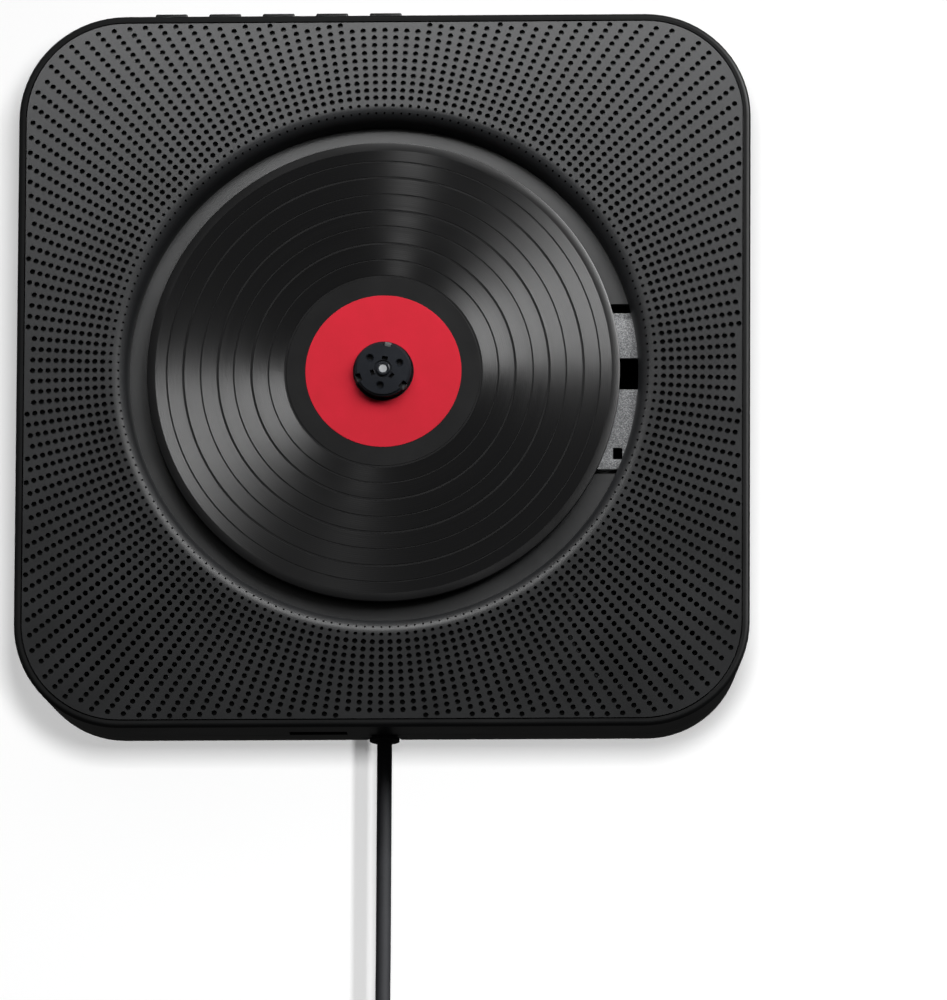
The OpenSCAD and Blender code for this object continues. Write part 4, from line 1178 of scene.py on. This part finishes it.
@dataclass
class DiscAndHub:
    """The grooved disc, its label, and the hub with its three jaws."""

    back: float = 34.3
    face: float = 35.5
    radius: float = 60.0
    bore: float = 7.5
    separators: tuple[float, ...] = (55.0, 50.8, 46.4, 42.1, 38.0, 33.5, 29.2, 24.9)
    separator_widths: tuple[float, float] = (0.4, 0.62)
    separator_depth: float = 0.1
    groove_start: float = 57.9
    label_bore: float = 7.7
    label_radius: float = 19.8
    label_thickness: float = 0.1
    hub_radius: float = 7.2
    hub_top: float = 38.5
    hub_flat: float = 38.2
    jaw_angles: tuple[float, ...] = (80.0, 200.0, 320.0)
    jaw_low: float = 35.6
    jaw_high: float = 37.0
    jaw_inner: float = 5.0
    jaw_outer: float = 7.4
    jaw_width: float = 1.8
    jaw_travel: float = 0.6
    jaw_gap: float = 0.15
    recess_out: float = 4.4

    def disc(self) -> None:
        """Turns the disc with its rounded rim and the land between its tracks."""
        edge = 0.25
        profile = [(self.bore, self.back + 0.1), (self.bore + 0.1, self.back)]
        profile += [(self.radius - edge, self.back), (self.radius, self.back + edge)]
        profile += [
            (self.radius, self.face - edge), (self.radius - edge * 0.3, self.face - edge * 0.3)]
        profile += [(self.radius - edge, self.face), (self.groove_start, self.face)]
        lands = [(self.groove_start, self.radius + 1), (0.0, self.separators[-1])]
        for i, r in enumerate(self.separators):
            half, depth = self.separator_widths[i % 2] / 2, self.separator_depth
            profile += [(r + half, self.face), (r + half - 0.08, self.face - depth)]
            profile += [(r - half + 0.08, self.face - depth), (r - half, self.face)]
            lands.append((r - half, r + half))
        profile += [(self.bore + 0.1, self.face), (self.bore, self.face - 0.1)]
        profile.append((self.bore, self.back + 0.1))
        bench = Bench.lathe("Disc", profile, 192)
        piece = bench.dress("disc_black", "disc", ["disc"], smooth=math.radians(25))
        piece.data.materials.append(FINISHES["disc_land"].material())
        for face in piece.data.polygons:
            r = math.hypot(face.center.x, face.center.z) / MM
            if any(low < r < high for low, high in lands):
                face.material_index = 1

    def label(self) -> None:
        """Turns the paper label with its soft cut edge."""
        top = self.face + self.label_thickness
        profile = [
            (self.label_bore, self.face), (self.label_radius, self.face),
            (self.label_radius, top - 0.04), (self.label_radius - 0.06, top), (15.0, top),
            (11.0, top), (self.label_bore + 0.05, top), (self.label_bore, top - 0.04),
            (self.label_bore, self.face),
        ]
        bench = Bench.lathe("Disc_label", profile, 128)
        bench.dress("label_red", "disc", ["disc_label"], smooth=math.radians(25))

    def hub(self) -> None:
        """Turns the hub, and cuts its jaw slots, its windows and its three bored recesses."""
        top, r = self.hub_flat, self.hub_radius
        profile = [
            (1.02, self.back), (r, self.back), (r, top - 0.6), (r - 0.15, top - 0.45),
            (r - 0.45, top - 0.45), (r - 0.45, top - 0.1), (r - 0.55, top), (2.3, top),
            (2.2, top - 0.3), (1.8, top - 0.3), (1.75, self.hub_top - 0.1), (1.6, self.hub_top),
            (1.2, self.hub_top), (1.02, self.hub_top - 0.2), (1.02, self.back),
        ]
        recess = [
            (0, top - 1.1), (0.72, top - 1.1), (0.8, top - 0.3), (1.15, top + 0.05),
            (1.15, top + 1), (0, top + 1),
        ]
        hub = Bench.lathe("Hub", profile, 96)
        gap, side = self.jaw_gap, self.jaw_width / 2 + self.jaw_gap
        for angle in self.jaw_angles:
            hub.carve(spot(self.jaw_inner - self.jaw_travel - gap, -side, self.jaw_low - gap),
                      spot(r + 2, side, self.jaw_high + gap), angle)
            hub.carve(spot(r - 1.3, -side, self.jaw_low), spot(r + 2, side, top + 1), angle)
            hub.carve(spot(2.35, -0.75, top - 1.2), spot(3.3, 0.75, top + 1), angle)
            cutter = Bench.lathe("Recess", recess, 32, x=self.recess_out)
            hub.combine(cutter.turn(angle - 60), Solid.CUT)
        hub.dress("hub_black", "spindle", ["hub_cap"], smooth=math.radians(20))

    def jaws(self) -> None:
        """Shapes the three sprung jaws, each with a rounded nose and a ramp for the disc."""
        side, nose, front = self.jaw_width / 2, self.jaw_outer - 0.2, self.jaw_high - 0.1
        for i, angle in enumerate(self.jaw_angles):
            jaw = Bench.block(f"Jaw_{i + 1}", spot(self.jaw_inner, -side, self.jaw_low),
                              spot(self.jaw_outer, side, self.jaw_high))
            jaw.bevel(
                lambda place, way: place.x > nose * MM and abs(way.y) > STRAIGHT, 0.45, 4)
            jaw.bevel(
                lambda place, way: place.x > nose * MM and -place.y > front * MM
                and abs(way.z) > STRAIGHT, 0.35, 3)
            jaw.soften(0.06)
            jaw.turn(angle)
            jaw.dress("mechanism_black", f"jaw_{i + 1}", [f"chuck_jaw_{i + 1}"])

    def build(self) -> None:
        """Builds the disc, its label, the hub and its jaws."""
        self.disc()
        self.label()
        self.hub()
        self.jaws()


# The pickup's plate


@dataclass
class Mechanism:
    """The pressed plate over the pickup, with its slot and its square hole."""

    top: float = 31.6
    thickness: float = 1.2
    outline: tuple[tuple[float, float], ...] = ((-20, -24.9), (73.6, 15.8))
    openings: tuple[tuple[tuple[float, float], ...], ...] = (
        ((60.5, -26), (75, -23.9)), ((17.5, -4.1), (65.5, 4.1)), ((58.1, -22.3), (60.5, -19.3)),
    )
    screws: tuple[tuple[float, float], ...] = (
        (-16, 12.5), (-16, -21), (71.8, 14.2), (71.8, -21.5))

    def build(self) -> None:
        """Cuts the plate out, with its step, slot and square hole, and rounds its pressed edges."""
        low, high = self.top - self.thickness, self.top
        corner, opposite = self.outline
        plate = Bench.block("Pickup_plate", spot(*corner, low), spot(*opposite, high))
        for corner, opposite in self.openings:
            plate.carve(spot(*corner, low - 1), spot(*opposite, high + 1))
        plate.drill(spot(0, 0, self.top), 5, 6, 64)
        for place in self.screws:
            plate.drill(spot(*place, self.top), 0.8, 6, 24)
        plate.soften(0.25, 3)
        plate.dress("plate_grey", "case", ["mech_plate"])


# Buttons


@dataclass
class Buttons:
    """The five buttons on the top edge, each with softened edges and a flange inside."""

    first_x: float = -54.7
    pitch: float = 13.64
    half_width: float = 4.1
    half_depth: float = 2.5
    flange: float = 0.7
    flange_thickness: float = 0.8
    names: tuple[str, ...] = ("button_1", "button_2", "button_3", "button_4", "button_5")

    def build(self) -> None:
        """Shapes one button over its CAD node and copies it along the row."""
        low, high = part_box(self.names[0])
        x = self.first_x
        top, bottom = high.z / MM, low.z / MM
        half, deep, flange = self.half_width, self.half_depth, self.flange
        off = -(low.y + high.y) / 2 / MM
        cap = Bench.block(
            "Button_1", spot(x - half, bottom, off - deep), spot(x + half, top, off + deep))
        cap.bevel(upright, 0.5, 4)
        cap.bevel(lambda place, _: place.z > (top - 0.1) * MM, 0.4, 4)
        ledge = bottom + 2
        plate = Bench.block(
            "Flange",
            spot(x - half - flange, ledge - self.flange_thickness, off - deep - flange),
            spot(x + half + flange, ledge, off + deep + flange))
        cap.combine(plate, Solid.JOIN)
        cap.soften(0.12)
        copies = [cap.copy(f"Button_{i + 1}", x=self.pitch * i) for i in range(1, len(self.names))]
        for bench, name in zip([cap, *copies], self.names):
            bench.dress("button_black", name, [name])


def dress_nodes() -> None:
    """Gives every CAD node that stays the finish of its slot."""
    slots = {s["node"]: s["material_slot"] for s in frame["record"]["subparts"]}
    for name, node in frame["nodes"].items():
        node.data.materials.clear()
        node.data.materials.append(FINISHES[slots[name]].material())
    LOG.info("dressed %d CAD nodes", len(frame["nodes"]))


def main() -> None:
    """Builds the studio, the cord and each sub-assembly in order."""
    logging.basicConfig(level=logging.INFO, format="%(message)s")
    bpy.context.scene.view_settings.view_transform = "Standard"
    studio = Studio()
    studio.camera()
    PullCord().build()
    dress_nodes()
    PerforatedFront().build()
    DiscAndHub().build()
    Mechanism().build()
    Buttons().build()
    studio.world()
    studio.wall()
    studio.lamps()


if __name__ == "__main__":
    main()
